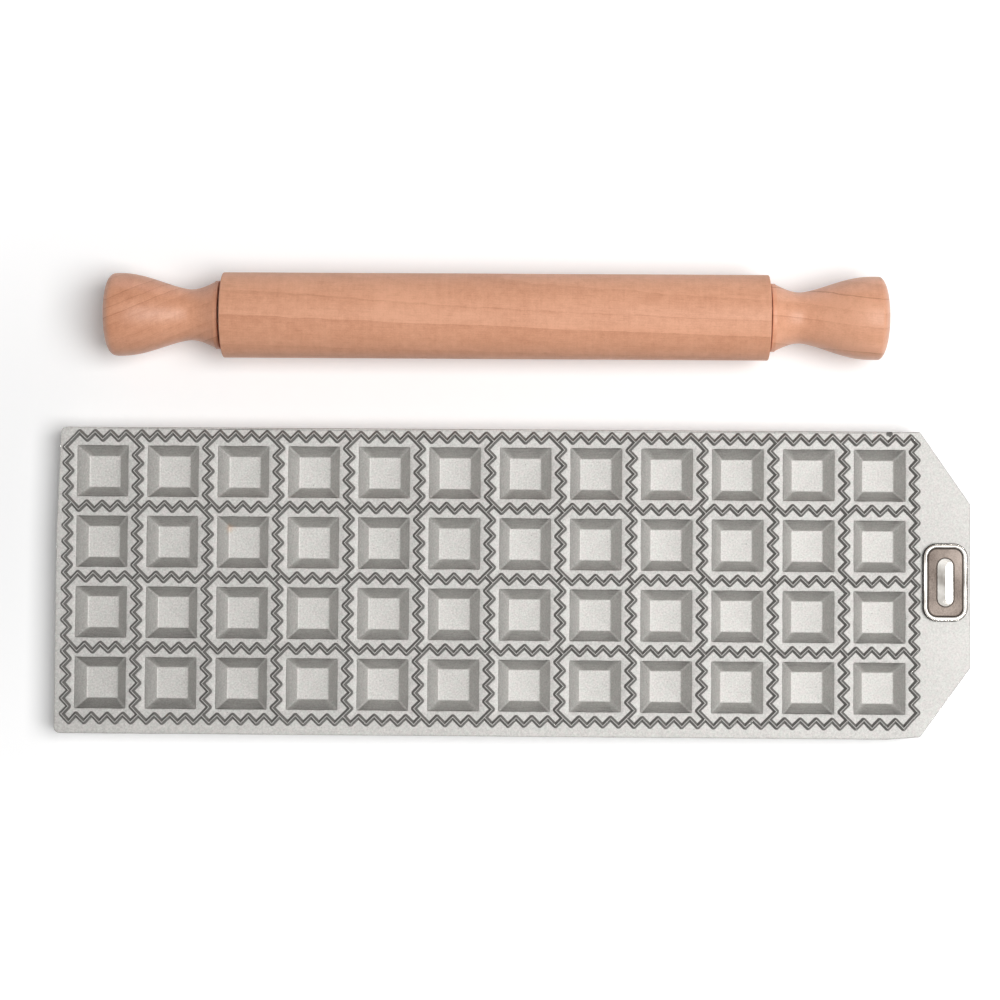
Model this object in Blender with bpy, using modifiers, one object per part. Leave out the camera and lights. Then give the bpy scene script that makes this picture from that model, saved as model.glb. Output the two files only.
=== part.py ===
"""Cast ravioli mould with its wooden rolling pin, laid out as a set.

Metres, +Z up. +X runs along the mould towards its tab and +Y from the mould to the pin.
The origin is under the middle of the whole set, on the surface that the set lies on.
"""

import math

import bmesh
import bpy
from mathutils import Matrix

# Clearances between pieces
SEAT_GAP = 0.0003
RUNNING_GAP = 0.0003

# Ravioli grid of the mould
PITCH = 0.030
COLUMNS = 12
ROWS = 4
TEETH = 4
TOOTH_DEPTH = 0.0034
RIDGE_BASE = 0.0020
RIDGE_CREST = 0.0004
RIDGE_HEIGHT = 0.0015
CUP_RIM = 0.0220
CUP_FLOOR = 0.0131
CUP_DEPTH = 0.0065

# Casting of the mould
DECK_TOP = 0.0150
DECK_THICKNESS = 0.0025
CUP_WALL = 0.0018
CUP_BOTTOM = 0.0020
SKIRT_WALL = 0.0030
SKIRT_LIFT = 0.0010
EDGE_ROUND = 0.0004
MARGIN_LEFT = 0.0045
MARGIN_BACK = 0.0037
MARGIN_FRONT = 0.0065
LEFT_LEAN = 0.0014
LEFT_LEAN_RUN = 0.045
FRONT_LEAN = 0.0011
FRONT_LEAN_RUN = 0.014
LEFT_CORNER_RADIUS = 0.0032
TAB_CORNER_RADIUS = 0.0015

# Tab at the right end of the mould
TAB_START = 0.0020
TAB_REACH = 0.0233
TAB_END_WIDTH = 0.0690

# Rubber feet, each plugged into a boss under the mould
FOOT_COLUMN = 1
FOOT_ROW = 1
FOOT_HEAD_DIAMETER = 0.0120
FOOT_HEAD_HEIGHT = 0.0032
FOOT_EDGE = 0.0008
FOOT_STEM_DIAMETER = 0.0050
FOOT_STEM_LENGTH = 0.0060
BOSS_WALL = 0.0038

# Plaque on the tab, held by two studs and push-on clips
BADGE_WIDTH = 0.0190
BADGE_LENGTH = 0.0330
BADGE_THICKNESS = 0.0022
BADGE_CORNER = 0.0060
BADGE_EDGE = 0.0007
BADGE_RIM = 0.0022
BADGE_FIELD_DEPTH = 0.0008
BADGE_CENTRE_WIDTH = 0.0066
BADGE_CENTRE_LENGTH = 0.0200
BADGE_INSET = 0.0108
STUD_DIAMETER = 0.0030
STUD_SPACING = 0.0200
STUD_TAIL = 0.0018
CLIP_DIAMETER = 0.0090
CLIP_THICKNESS = 0.0006
CLIP_DISH = 0.0006

# Rolling pin
PIN_GAP = 0.0297
PIN_SHIFT = 0.0018
BARREL_LENGTH = 0.2312
BARREL_DIAMETER = 0.0362
BARREL_END_ROUND = 0.0006
RECESS_DEPTH = 0.0014
RECESS_GAP = 0.0006
LEFT_PLAY = 0.0008
RIGHT_PLAY = 0.0003
AXLE_DIAMETER = 0.0080
AXLE_GRIP = 0.0340
AXLE_CHAMFER = 0.0006
BARREL_BORE = 0.0100
BUSHING_DIAMETER = 0.0140
BUSHING_LENGTH = 0.0140
FLANGE_DIAMETER = 0.0200
FLANGE_THICKNESS = 0.0012

# Handles, turned from the collar out to the rounded end
LEFT_HANDLE_LENGTH = 0.0490
RIGHT_HANDLE_LENGTH = 0.0503
COLLAR_DIAMETER = 0.0289
COLLAR_LAND = 0.0019
NECK_DIAMETER = 0.0216
NECK_DISTANCE = 0.0125
GRIP_DIAMETER = 0.0352
GRIP_SWELL = 0.0300
LEFT_END_LENGTH = 0.0062
LEFT_END_POWER = 3.2
RIGHT_END_LENGTH = 0.0048
RIGHT_END_POWER = 2.1
SWELL_POWER = 1.5

# Fineness of the round shapes
ARC_STEPS = 4
SWEEP_STEPS = 6
FULL_ROUND = 0.998
BARREL_SEGMENTS = 48
HANDLE_SEGMENTS = 32
SMALL_SEGMENTS = 24
TINY_SEGMENTS = 16

# Places worked out from the sizes above
GRID_LENGTH = COLUMNS * PITCH
GRID_WIDTH = ROWS * PITCH
MOULD_LENGTH = MARGIN_LEFT + GRID_LENGTH + TAB_REACH
MOULD_WIDTH = MARGIN_FRONT + GRID_WIDTH + MARGIN_BACK
GRID_LEFT = MARGIN_LEFT - MOULD_LENGTH / 2
GRID_BACK = MOULD_WIDTH - (MOULD_WIDTH + PIN_GAP + BARREL_DIAMETER) / 2 - MARGIN_BACK
MOULD_FRONT = GRID_BACK - GRID_WIDTH - MARGIN_FRONT
PIN_Y = GRID_BACK + MARGIN_BACK + PIN_GAP + BARREL_DIAMETER / 2
PIN_X = GRID_LEFT + GRID_LENGTH / 2 + PIN_SHIFT
TAB_CENTRE_Y = MOULD_FRONT + MOULD_WIDTH / 2
TAB_EDGE_X = GRID_LEFT + GRID_LENGTH + TAB_REACH
BADGE_X = TAB_EDGE_X - BADGE_INSET
BADGE_Y = GRID_BACK - GRID_WIDTH / 2


def clear_scene():
    """Remove whatever the scene holds."""
    for item in list(bpy.data.objects):
        bpy.data.objects.remove(item, do_unlink=True)


def collection(name):
    """A new collection in the scene."""
    group = bpy.data.collections.new(name)
    bpy.context.scene.collection.children.link(group)
    return group


def material(name, colour, roughness, metallic):
    """A plain finish: colour, roughness and how metallic it is."""
    finish = bpy.data.materials.new(name)
    finish.use_nodes = True
    shader = finish.node_tree.nodes["Principled BSDF"]
    shader.inputs["Base Color"].default_value = (*colour, 1.0)
    shader.inputs["Roughness"].default_value = roughness
    shader.inputs["Metallic"].default_value = metallic
    return finish


def empty(name, place, turn=(0.0, 0.0, 0.0)):
    """A bare frame that pieces are placed in."""
    frame = bpy.data.objects.new(name, None)
    frame.location = place
    frame.rotation_euler = turn
    frame.empty_display_size = 0.02
    PARTS.objects.link(frame)
    return frame


def mesh_object(name, shape, group):
    """An object for a finished bmesh."""
    mesh = bpy.data.meshes.new(name)
    shape.to_mesh(mesh)
    shape.free()
    item = bpy.data.objects.new(name, mesh)
    group.objects.link(item)
    return item


def as_tool(item):
    """Mark an object as a cutter or a joined shape, which isn't a piece itself."""
    item.hide_render = True
    item.display_type = "WIRE"
    return item


def combine(item, tool, operation):
    """Cut a tool out of a piece, or join it on."""
    step = item.modifiers.new(tool.name, "BOOLEAN")
    step.operation = operation
    step.solver = "EXACT"
    step.object = as_tool(tool)


def shade(item, angle=math.radians(30)):
    """Smooth the round faces and keep the sharp edges."""
    item.data.shade_smooth()
    item.data.set_sharp_from_angle(angle=angle)


def finish_piece(item, finish, parent, place=(0.0, 0.0, 0.0), turn=(0.0, 0.0, 0.0)):
    """Give a piece its finish and its place in a frame."""
    item.data.materials.clear()
    item.data.materials.append(finish)
    item.parent = parent
    item.location = place
    item.rotation_euler = turn
    return item


def offset_loop(points, distance):
    """A closed anticlockwise outline moved outwards by a distance, with mitred corners."""
    moved = []
    for index, (x, y) in enumerate(points):
        before = points[index - 1]
        after = points[(index + 1) % len(points)]
        into = math.atan2(y - before[1], x - before[0])
        away = math.atan2(after[1] - y, after[0] - x)
        half_turn = math.remainder(away - into, math.tau) / 2
        direction = into + half_turn - math.pi / 2
        reach = distance / math.cos(half_turn)
        moved.append((x + reach * math.cos(direction), y + reach * math.sin(direction)))
    return moved


def rounded_loop(points, radii):
    """A closed anticlockwise outline with each corner turned into an arc."""
    outline = []
    for index, (x, y) in enumerate(points):
        before = points[index - 1]
        after = points[(index + 1) % len(points)]
        into = math.atan2(y - before[1], x - before[0])
        away = math.atan2(after[1] - y, after[0] - x)
        turn = math.remainder(away - into, math.tau)
        radius = radii[index]
        if radius == 0:
            outline.append((x, y))
            continue
        back = radius * math.tan(turn / 2)
        start = (x - back * math.cos(into), y - back * math.sin(into))
        centre = (start[0] - radius * math.sin(into), start[1] + radius * math.cos(into))
        for step in range(ARC_STEPS + 1):
            angle = into - math.pi / 2 + turn * step / ARC_STEPS
            outline.append((centre[0] + radius * math.cos(angle), centre[1] + radius * math.sin(angle)))
    return outline


def flat_curve(name, loops, half_thickness, edge=0.0, edge_steps=0):
    """A filled flat outline, with holes where loops lie inside loops, as a closed mesh."""
    curve = bpy.data.curves.new(name, "CURVE")
    curve.dimensions = "2D"
    curve.fill_mode = "BOTH"
    curve.extrude = half_thickness - edge
    curve.bevel_depth = edge
    curve.bevel_resolution = edge_steps
    for loop in loops:
        spline = curve.splines.new("POLY")
        spline.points.add(len(loop) - 1)
        for point, (x, y) in zip(spline.points, loop):
            point.co = (x, y, 0.0, 1.0)
        spline.use_cyclic_u = True
    source = bpy.data.objects.new(name + "_outline", curve)
    TOOLS.objects.link(source)
    bpy.context.view_layer.update()
    evaluated = source.evaluated_get(bpy.context.evaluated_depsgraph_get())
    mesh = bpy.data.meshes.new_from_object(evaluated)
    shape = bmesh.new()
    shape.from_mesh(mesh)
    bmesh.ops.remove_doubles(shape, verts=shape.verts, dist=1e-6)
    bpy.data.objects.remove(source, do_unlink=True)
    bpy.data.meshes.remove(mesh)
    return shape


def plate_solid(name, loops, low, high, group, edge=0.0, edge_steps=0):
    """A flat outline between two heights, its rims rounded by an edge size."""
    inner = [offset_loop(loop, -edge) for loop in loops] if edge else loops
    shape = flat_curve(name, inner, (high - low) / 2, edge, edge_steps)
    bmesh.ops.translate(shape, verts=shape.verts, vec=(0.0, 0.0, (low + high) / 2))
    return mesh_object(name, shape, group)


def square_frusta(name, centres, low, high, half_low, half_high):
    """Square blocks with sloping sides, one at each centre, as one tool."""
    shape = bmesh.new()
    for x, y in centres:
        place = Matrix.Translation((x, y, (low + high) / 2)) @ Matrix.Rotation(math.pi / 4, 4, "Z")
        bmesh.ops.create_cone(
            shape, cap_ends=True, segments=4, radius1=half_low * math.sqrt(2),
            radius2=half_high * math.sqrt(2), depth=high - low, matrix=place)
    return mesh_object(name, shape, TOOLS)


def round_posts(name, centres, radius, low, high, segments):
    """Upright cylinders, one at each centre, as one tool."""
    shape = bmesh.new()
    for x, y in centres:
        place = Matrix.Translation((x, y, (low + high) / 2))
        bmesh.ops.create_cone(
            shape, cap_ends=True, segments=segments, radius1=radius, radius2=radius,
            depth=high - low, matrix=place)
    return mesh_object(name, shape, TOOLS)


def turned(name, profile, segments, closed):
    """A turned piece about its own Z, from radius and height pairs, outer side first and down."""
    shape = bmesh.new()
    corners = [shape.verts.new((radius, 0.0, height)) for radius, height in profile]
    for first, second in zip(corners, corners[1:]):
        shape.edges.new((first, second))
    if closed:
        shape.edges.new((corners[-1], corners[0]))
    item = mesh_object(name, shape, PARTS)
    sweep = item.modifiers.new("turn", "SCREW")
    sweep.steps = segments
    sweep.render_steps = segments
    sweep.angle = math.tau
    sweep.axis = "Z"
    sweep.use_smooth_shade = True
    sweep.use_merge_vertices = not closed
    sweep.merge_threshold = 0.00001
    return item


def zigzag_row(line, first, count):
    """Corners of a cutting line along X, in steps from the grid's back left corner."""
    return [(k + 0.5, line * STEPS, (-1) ** (k + line)) for k in range(first, first + count)]


def row_corners(line, first, count):
    """The places of a line's corners along X, Y counted downwards from the grid's back."""
    return [(GRID_LEFT + s * STEP, GRID_BACK - v * STEP - side * TOOTH_DEPTH / 2)
            for s, v, side in zigzag_row(line, first, count)]


def column_corners(line, first, count):
    """The same for a cutting line along Y."""
    return [(GRID_LEFT + v * STEP + side * TOOTH_DEPTH / 2, GRID_BACK - s * STEP)
            for s, v, side in zigzag_row(line, first, count)]


def tidy_loop(points):
    """An anticlockwise outline without its doubled corners and those on a straight run."""
    apart = [p for i, p in enumerate(points) if math.dist(p, points[i - 1]) > STEP / 1000]
    kept = []
    for index, (x, y) in enumerate(apart):
        before = apart[index - 1]
        after = apart[(index + 1) % len(apart)]
        bend = (x - before[0]) * (after[1] - y) - (y - before[1]) * (after[0] - x)
        if abs(bend) > STEP * STEP / 1000:
            kept.append((x, y))
    return kept[::-1]


def ring_loop(row, column, rows, columns):
    """The cutting lines' middle round a block of cells."""
    back = row_corners(row, column * STEPS, columns * STEPS)
    right = column_corners(column + columns, row * STEPS, rows * STEPS)
    front = row_corners(row + rows, column * STEPS, columns * STEPS)
    left = column_corners(column, row * STEPS, rows * STEPS)
    return tidy_loop(back + right + front[::-1] + left[::-1])


def cutting_ridges():
    """The zigzag ridges: a flat net of outlines whose sides slope from crest to root."""
    widest = (RIDGE_BASE - RIDGE_CREST) / 2 * (RIDGE_HEIGHT + RIDGE_SINK) / RIDGE_HEIGHT
    loops = [offset_loop(ring_loop(0, 0, ROWS, COLUMNS), RIDGE_CREST / 2)]
    for row in range(ROWS):
        for column in range(COLUMNS):
            loops.append(offset_loop(ring_loop(row, column, 1, 1), -RIDGE_CREST / 2))
    shape = flat_curve("cutting_ridges", loops, widest, widest)
    for corner in shape.verts:
        share = corner.co.z / widest
        reach = RIDGE_HEIGHT + RIDGE_SINK if share > 0 else DECK_THICKNESS / 2 - RIDGE_SINK
        corner.co.z = DECK_TOP - RIDGE_SINK + share * reach
    return mesh_object("cutting_ridges", shape, TOOLS)


def mould_outline():
    """The mould seen from above: straight sides, a leaning left end and the tab's chamfers."""
    left = GRID_LEFT - MARGIN_LEFT
    back = GRID_BACK + MARGIN_BACK
    tab_start = GRID_LEFT + GRID_LENGTH + TAB_START
    corners = [
        (left, MOULD_FRONT),
        (tab_start - FRONT_LEAN_RUN, MOULD_FRONT),
        (tab_start, MOULD_FRONT + FRONT_LEAN),
        (TAB_EDGE_X, TAB_CENTRE_Y - TAB_END_WIDTH / 2),
        (TAB_EDGE_X, TAB_CENTRE_Y + TAB_END_WIDTH / 2),
        (tab_start, back),
        (left + LEFT_LEAN, back),
        (left, back - LEFT_LEAN_RUN),
    ]
    radii = [
        LEFT_CORNER_RADIUS, 0, TAB_CORNER_RADIUS, TAB_CORNER_RADIUS,
        TAB_CORNER_RADIUS, TAB_CORNER_RADIUS, LEFT_CORNER_RADIUS, 0]
    return corners, radii


def cup_half(depth):
    """Half the width of a cup's cavity at a depth under the deck."""
    slope = (CUP_RIM - CUP_FLOOR) / 2 / CUP_DEPTH
    return CUP_RIM / 2 - slope * depth


def mould_plate():
    """The casting: deck, skirt, cups, ridges, foot bosses and the plaque's holes."""
    corners, radii = mould_outline()
    outline = rounded_loop(corners, radii)
    plate = plate_solid(
        "mould_plate", [outline], SKIRT_LIFT, DECK_TOP, PARTS, EDGE_ROUND)
    hollow_radii = [max(radius - SKIRT_WALL, radius / 4) for radius in radii]
    hollow = rounded_loop(offset_loop(corners, -SKIRT_WALL), hollow_radii)
    ceiling = DECK_TOP - DECK_THICKNESS
    combine(plate, plate_solid("hollow", [hollow], -SKIRT_LIFT, ceiling, TOOLS), "DIFFERENCE")
    shell_top = DECK_THICKNESS / 2
    shell_low = CUP_DEPTH + CUP_BOTTOM
    shells = square_frusta(
        "cup_shells", CUP_CENTRES, DECK_TOP - shell_low, DECK_TOP - shell_top,
        cup_half(shell_low) + CUP_WALL, cup_half(shell_top) + CUP_WALL)
    combine(plate, shells, "UNION")
    boss_radius = FOOT_STEM_DIAMETER / 2 + SEAT_GAP + BOSS_WALL
    bosses = round_posts(
        "foot_bosses", FOOT_PLACES.values(), boss_radius, FOOT_HEAD_HEIGHT + SEAT_GAP,
        DECK_TOP - DECK_THICKNESS / 2, SMALL_SEGMENTS)
    combine(plate, bosses, "UNION")
    combine(plate, cutting_ridges(), "UNION")
    above = RIDGE_HEIGHT / 2
    cups = square_frusta(
        "cups", CUP_CENTRES, DECK_TOP - CUP_DEPTH, DECK_TOP + above, cup_half(CUP_DEPTH), cup_half(-above))
    combine(plate, cups, "DIFFERENCE")
    foot_holes = round_posts(
        "foot_holes", FOOT_PLACES.values(), FOOT_STEM_DIAMETER / 2 + SEAT_GAP, 0.0,
        FOOT_HEAD_HEIGHT + FOOT_STEM_LENGTH + SEAT_GAP, SMALL_SEGMENTS)
    combine(plate, foot_holes, "DIFFERENCE")
    stud_holes = round_posts(
        "stud_holes", STUD_PLACES.values(), STUD_DIAMETER / 2 + SEAT_GAP, 0.0,
        DECK_TOP + RIDGE_HEIGHT, TINY_SEGMENTS)
    combine(plate, stud_holes, "DIFFERENCE")
    return finish_piece(plate, CAST_ALUMINIUM, MOULD_FRAME)


def foot(name, place):
    """A rubber foot: a low head that stands on the table and a stem in the boss."""
    head = FOOT_HEAD_DIAMETER / 2
    stem = FOOT_STEM_DIAMETER / 2
    top = FOOT_HEAD_HEIGHT + FOOT_STEM_LENGTH
    profile = [
        (0.0, top),
        (stem - FOOT_EDGE, top),
        (stem, top - FOOT_EDGE),
        (stem, FOOT_HEAD_HEIGHT),
        (head - FOOT_EDGE / 2, FOOT_HEAD_HEIGHT),
        (head, FOOT_HEAD_HEIGHT - FOOT_EDGE / 2),
        (head, FOOT_EDGE),
        (head - FOOT_EDGE, 0.0),
        (0.0, 0.0),
    ]
    item = turned(name, profile, SMALL_SEGMENTS, closed=False)
    return finish_piece(item, FOOT_RUBBER, MOULD_FRAME, (*place, 0.0))


def badge():
    """The plaque: a rounded plate with a sunk field round a raised middle, and two studs."""
    low = DECK_TOP + SEAT_GAP
    high = low + BADGE_THICKNESS

    def pill(width, length, radius):
        x, y = width / 2, length / 2
        return rounded_loop([(-x, -y), (x, -y), (x, y), (-x, y)], [radius] * 4)

    def placed(loop):
        return [(BADGE_X + x, BADGE_Y + y) for x, y in loop]

    outer = placed(pill(BADGE_WIDTH, BADGE_LENGTH, BADGE_CORNER))
    plaque = plate_solid("badge", [outer], low, high, PARTS, BADGE_EDGE, 1)
    field_outer = placed(pill(
        BADGE_WIDTH - 2 * BADGE_RIM, BADGE_LENGTH - 2 * BADGE_RIM,
        max(BADGE_CORNER - BADGE_RIM, BADGE_CORNER / 4)))
    field_inner = placed(pill(
        BADGE_CENTRE_WIDTH, BADGE_CENTRE_LENGTH, BADGE_CENTRE_WIDTH / 2 * FULL_ROUND))
    field = plate_solid(
        "badge_field", [field_outer, field_inner], high - BADGE_FIELD_DEPTH, high + BADGE_THICKNESS, TOOLS)
    combine(plaque, field, "DIFFERENCE")
    stud_end = CLIP_TOP - CLIP_THICKNESS - CLIP_DISH - STUD_TAIL
    studs = round_posts(
        "badge_studs", STUD_PLACES.values(), STUD_DIAMETER / 2, stud_end, low + BADGE_THICKNESS / 4,
        TINY_SEGMENTS)
    combine(plaque, studs, "UNION")
    return finish_piece(plaque, NICKEL, MOULD_FRAME)


def clip(name, place):
    """A push-on clip: a dished spring washer that grips a stud under the tab."""
    outer = CLIP_DIAMETER / 2
    inner = STUD_DIAMETER / 2 + SEAT_GAP
    profile = [
        (outer, CLIP_TOP),
        (outer, CLIP_TOP - CLIP_THICKNESS),
        (inner, CLIP_TOP - CLIP_THICKNESS - CLIP_DISH),
        (inner, CLIP_TOP - CLIP_DISH),
    ]
    item = turned(name, profile, TINY_SEGMENTS, closed=True)
    return finish_piece(item, SPRING_STEEL, MOULD_FRAME, (*place, 0.0))


def pin_barrel():
    """The wooden roller: a bored cylinder with a recess for a bushing's flange in each end."""
    half = BARREL_LENGTH / 2
    radius = BARREL_DIAMETER / 2
    recess = FLANGE_DIAMETER / 2 + RECESS_GAP
    seat = BUSHING_DIAMETER / 2 + SEAT_GAP
    bore = BARREL_BORE / 2
    seat_depth = RECESS_DEPTH + BUSHING_LENGTH + SEAT_GAP
    end = []
    for step in range(ARC_STEPS + 1):
        angle = math.pi / 2 * step / ARC_STEPS
        end.append((radius - BARREL_END_ROUND * (1 - math.sin(angle)),
                    half - BARREL_END_ROUND * (1 - math.cos(angle))))
    inner = [(bore, half - seat_depth), (seat, half - seat_depth), (seat, half - RECESS_DEPTH),
             (recess, half - RECESS_DEPTH), (recess, half)]
    upper = inner + end
    lower = [(r, -z) for r, z in upper[::-1]]
    item = turned("pin_barrel", end + lower + inner, BARREL_SEGMENTS, closed=True)
    return finish_piece(item, BEECH, PIN_FRAME)


def handle_profile(length, end_length, end_power):
    """Radius and height pairs of a handle, rounded end first, then down to the collar and up the bore."""
    collar = COLLAR_DIAMETER / 2
    neck = NECK_DIAMETER / 2
    grip = GRIP_DIAMETER / 2
    bore = AXLE_DIAMETER / 2 + SEAT_GAP
    shoulder = length - end_length
    profile = []
    for step in range(SWEEP_STEPS + 1):
        share = math.cos(math.pi / 2 * step / SWEEP_STEPS)
        profile.append((grip * (1 - share ** end_power) ** (1 / end_power), shoulder + end_length * share))
    for step in range(SWEEP_STEPS + 1):
        share = 1 - step / SWEEP_STEPS
        swell = math.sin(math.pi / 2 * share) ** SWELL_POWER
        height = NECK_DISTANCE + GRIP_SWELL * share
        if height < profile[-1][1] - COLLAR_LAND / 10:
            profile.append((neck + (grip - neck) * swell, height))
    for step in range(1, SWEEP_STEPS + 1):
        share = step / SWEEP_STEPS
        rise = 1 - math.cos(math.pi / 2 * share)
        height = COLLAR_LAND + (NECK_DISTANCE - COLLAR_LAND) * (1 - share)
        profile.append((neck + (collar - neck) * rise, height))
    depth = AXLE_GRIP + SEAT_GAP
    profile += [(collar, 0.0), (bore, 0.0), (bore, depth), (0.0, depth)]
    return profile


def pin_handle(name, length, end_length, end_power, place, turn):
    """A handle on the end of the axle, which is pressed into its blind bore."""
    item = turned(name, handle_profile(length, end_length, end_power), HANDLE_SEGMENTS, closed=False)
    return finish_piece(item, BEECH, PIN_FRAME, place, turn)


def pin_axle():
    """The steel rod through the barrel, with both ends in the handles."""
    radius = AXLE_DIAMETER / 2
    top = RIGHT_COLLAR + AXLE_GRIP
    low = LEFT_COLLAR - AXLE_GRIP
    profile = [
        (0.0, top),
        (radius - AXLE_CHAMFER, top),
        (radius, top - AXLE_CHAMFER),
        (radius, low + AXLE_CHAMFER),
        (radius - AXLE_CHAMFER, low),
        (0.0, low),
    ]
    item = turned("pin_axle", profile, SMALL_SEGMENTS, closed=False)
    return finish_piece(item, STEEL, PIN_FRAME)


def bushing(name, place, turn):
    """A nylon bushing: a sleeve pressed into the barrel and a flange that meets the collar."""
    outer = BUSHING_DIAMETER / 2
    flange = FLANGE_DIAMETER / 2
    inner = AXLE_DIAMETER / 2 + RUNNING_GAP
    profile = [
        (flange, FLANGE_THICKNESS),
        (flange, 0.0),
        (outer, 0.0),
        (outer, SEAT_GAP - BUSHING_LENGTH),
        (inner, SEAT_GAP - BUSHING_LENGTH),
        (inner, FLANGE_THICKNESS),
    ]
    item = turned(name, profile, SMALL_SEGMENTS, closed=True)
    return finish_piece(item, NYLON, PIN_FRAME, place, turn)


STEPS = 2 * TEETH + 1
STEP = PITCH / STEPS
RIDGE_SINK = RIDGE_HEIGHT / 5
CLIP_TOP = DECK_TOP - DECK_THICKNESS - SEAT_GAP
CUP_CENTRES = [
    (GRID_LEFT + (column + 0.5) * PITCH, GRID_BACK - (row + 0.5) * PITCH)
    for row in range(ROWS) for column in range(COLUMNS)]
FOOT_PLACES = {
    "foot_back_left": (GRID_LEFT + FOOT_COLUMN * PITCH, GRID_BACK - FOOT_ROW * PITCH),
    "foot_back_right": (GRID_LEFT + (COLUMNS - FOOT_COLUMN) * PITCH, GRID_BACK - FOOT_ROW * PITCH),
    "foot_front_left": (GRID_LEFT + FOOT_COLUMN * PITCH, GRID_BACK - (ROWS - FOOT_ROW) * PITCH),
    "foot_front_right": (
        GRID_LEFT + (COLUMNS - FOOT_COLUMN) * PITCH, GRID_BACK - (ROWS - FOOT_ROW) * PITCH),
}
STUD_PLACES = {
    "badge_clip_back": (BADGE_X, BADGE_Y + STUD_SPACING / 2),
    "badge_clip_front": (BADGE_X, BADGE_Y - STUD_SPACING / 2),
}
BUSHING_SEAT = BARREL_LENGTH / 2 - RECESS_DEPTH + SEAT_GAP
FLANGE_FACE = BUSHING_SEAT + FLANGE_THICKNESS
LEFT_COLLAR = -FLANGE_FACE - RUNNING_GAP - LEFT_PLAY
RIGHT_COLLAR = FLANGE_FACE + RUNNING_GAP + RIGHT_PLAY
UNTURNED = (0.0, 0.0, 0.0)
TURNED_ROUND = (math.pi, 0.0, 0.0)

clear_scene()
PARTS = collection("ravioli_mould")
TOOLS = collection("cutters")
CAST_ALUMINIUM = material("cast_aluminium", (0.62, 0.61, 0.59), 0.55, 0.9)
NICKEL = material("polished_nickel", (0.74, 0.71, 0.67), 0.2, 1.0)
FOOT_RUBBER = material("foot_rubber", (0.05, 0.05, 0.05), 0.8, 0.0)
SPRING_STEEL = material("spring_steel", (0.45, 0.45, 0.46), 0.4, 1.0)
BEECH = material("beech", (0.78, 0.53, 0.36), 0.55, 0.0)
STEEL = material("axle_steel", (0.56, 0.56, 0.57), 0.35, 1.0)
NYLON = material("bushing_nylon", (0.82, 0.80, 0.74), 0.5, 0.0)
MOULD_FRAME = empty("mould_frame", (0.0, 0.0, 0.0))
PIN_FRAME = empty("pin_frame", (PIN_X, PIN_Y, BARREL_DIAMETER / 2), (0.0, math.pi / 2, 0.0))

pieces = [mould_plate(), badge()]
for clip_name, clip_place in STUD_PLACES.items():
    pieces.append(clip(clip_name, clip_place))
for foot_name, foot_place in FOOT_PLACES.items():
    pieces.append(foot(foot_name, foot_place))
pieces.append(pin_barrel())
pieces.append(pin_axle())
pieces.append(bushing("bushing_right", (0.0, 0.0, BUSHING_SEAT), UNTURNED))
pieces.append(bushing("bushing_left", (0.0, 0.0, -BUSHING_SEAT), TURNED_ROUND))
pieces.append(pin_handle(
    "pin_handle_right", RIGHT_HANDLE_LENGTH, RIGHT_END_LENGTH, RIGHT_END_POWER,
    (0.0, 0.0, RIGHT_COLLAR), UNTURNED))
pieces.append(pin_handle(
    "pin_handle_left", LEFT_HANDLE_LENGTH, LEFT_END_LENGTH, LEFT_END_POWER,
    (0.0, 0.0, LEFT_COLLAR), TURNED_ROUND))
for piece in pieces:
    shade(piece)
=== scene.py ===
import bmesh
import bpy
import numpy as np
from mathutils import Euler, Matrix, Vector
from mathutils.geometry import delaunay_2d_cdt


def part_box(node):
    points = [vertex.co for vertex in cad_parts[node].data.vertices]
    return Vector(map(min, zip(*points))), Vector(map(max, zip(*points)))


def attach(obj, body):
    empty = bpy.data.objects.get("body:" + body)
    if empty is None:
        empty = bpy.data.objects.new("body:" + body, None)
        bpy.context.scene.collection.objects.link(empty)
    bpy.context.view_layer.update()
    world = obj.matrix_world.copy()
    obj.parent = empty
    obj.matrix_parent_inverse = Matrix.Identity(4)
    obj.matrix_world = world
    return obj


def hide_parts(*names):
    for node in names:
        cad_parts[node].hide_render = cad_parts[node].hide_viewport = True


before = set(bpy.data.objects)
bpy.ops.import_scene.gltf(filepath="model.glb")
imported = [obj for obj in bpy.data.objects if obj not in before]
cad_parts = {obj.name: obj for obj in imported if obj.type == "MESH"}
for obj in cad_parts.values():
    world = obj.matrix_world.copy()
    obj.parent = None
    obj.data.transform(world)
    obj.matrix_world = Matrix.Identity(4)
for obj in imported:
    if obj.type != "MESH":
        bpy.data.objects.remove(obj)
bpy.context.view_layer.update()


# Mould plate: one aluminium casting with 48 tapered cups sunk in its deck, and a net of zigzag ridges that
# cut the dough round each cup. It keeps the fine sandy skin of its casting mould. Painted shade darkens the
# ridges' flanks and the cups' walls, and leaves the ridges' crests pale. A skirt runs round it underneath,
# with a boss for each foot.

PITCH = 0.030
COLUMNS = 12
ROWS = 4
TEETH = 4
STEP = PITCH / (2 * TEETH + 1)
RIDGE_HEIGHT = 0.0015
SHARP_TURN = 0.5
# Down half a ridge: how far from its middle, how high over the deck, and how dark the painted shade on it is.
RIDGE_SIDE = [
    (0.00000, 0.00150, 0.0),
    (0.00006, 0.00149, 0.0),
    (0.00012, 0.00145, 0.3),
    (0.00020, 0.00133, 1.0),
    (0.00094, 0.00020, 1.0),
    (0.00104, 0.00006, 1.0),
    (0.00112, 0.00000, 0.6),
    (0.00121, 0.00000, 0.0),
]
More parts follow.
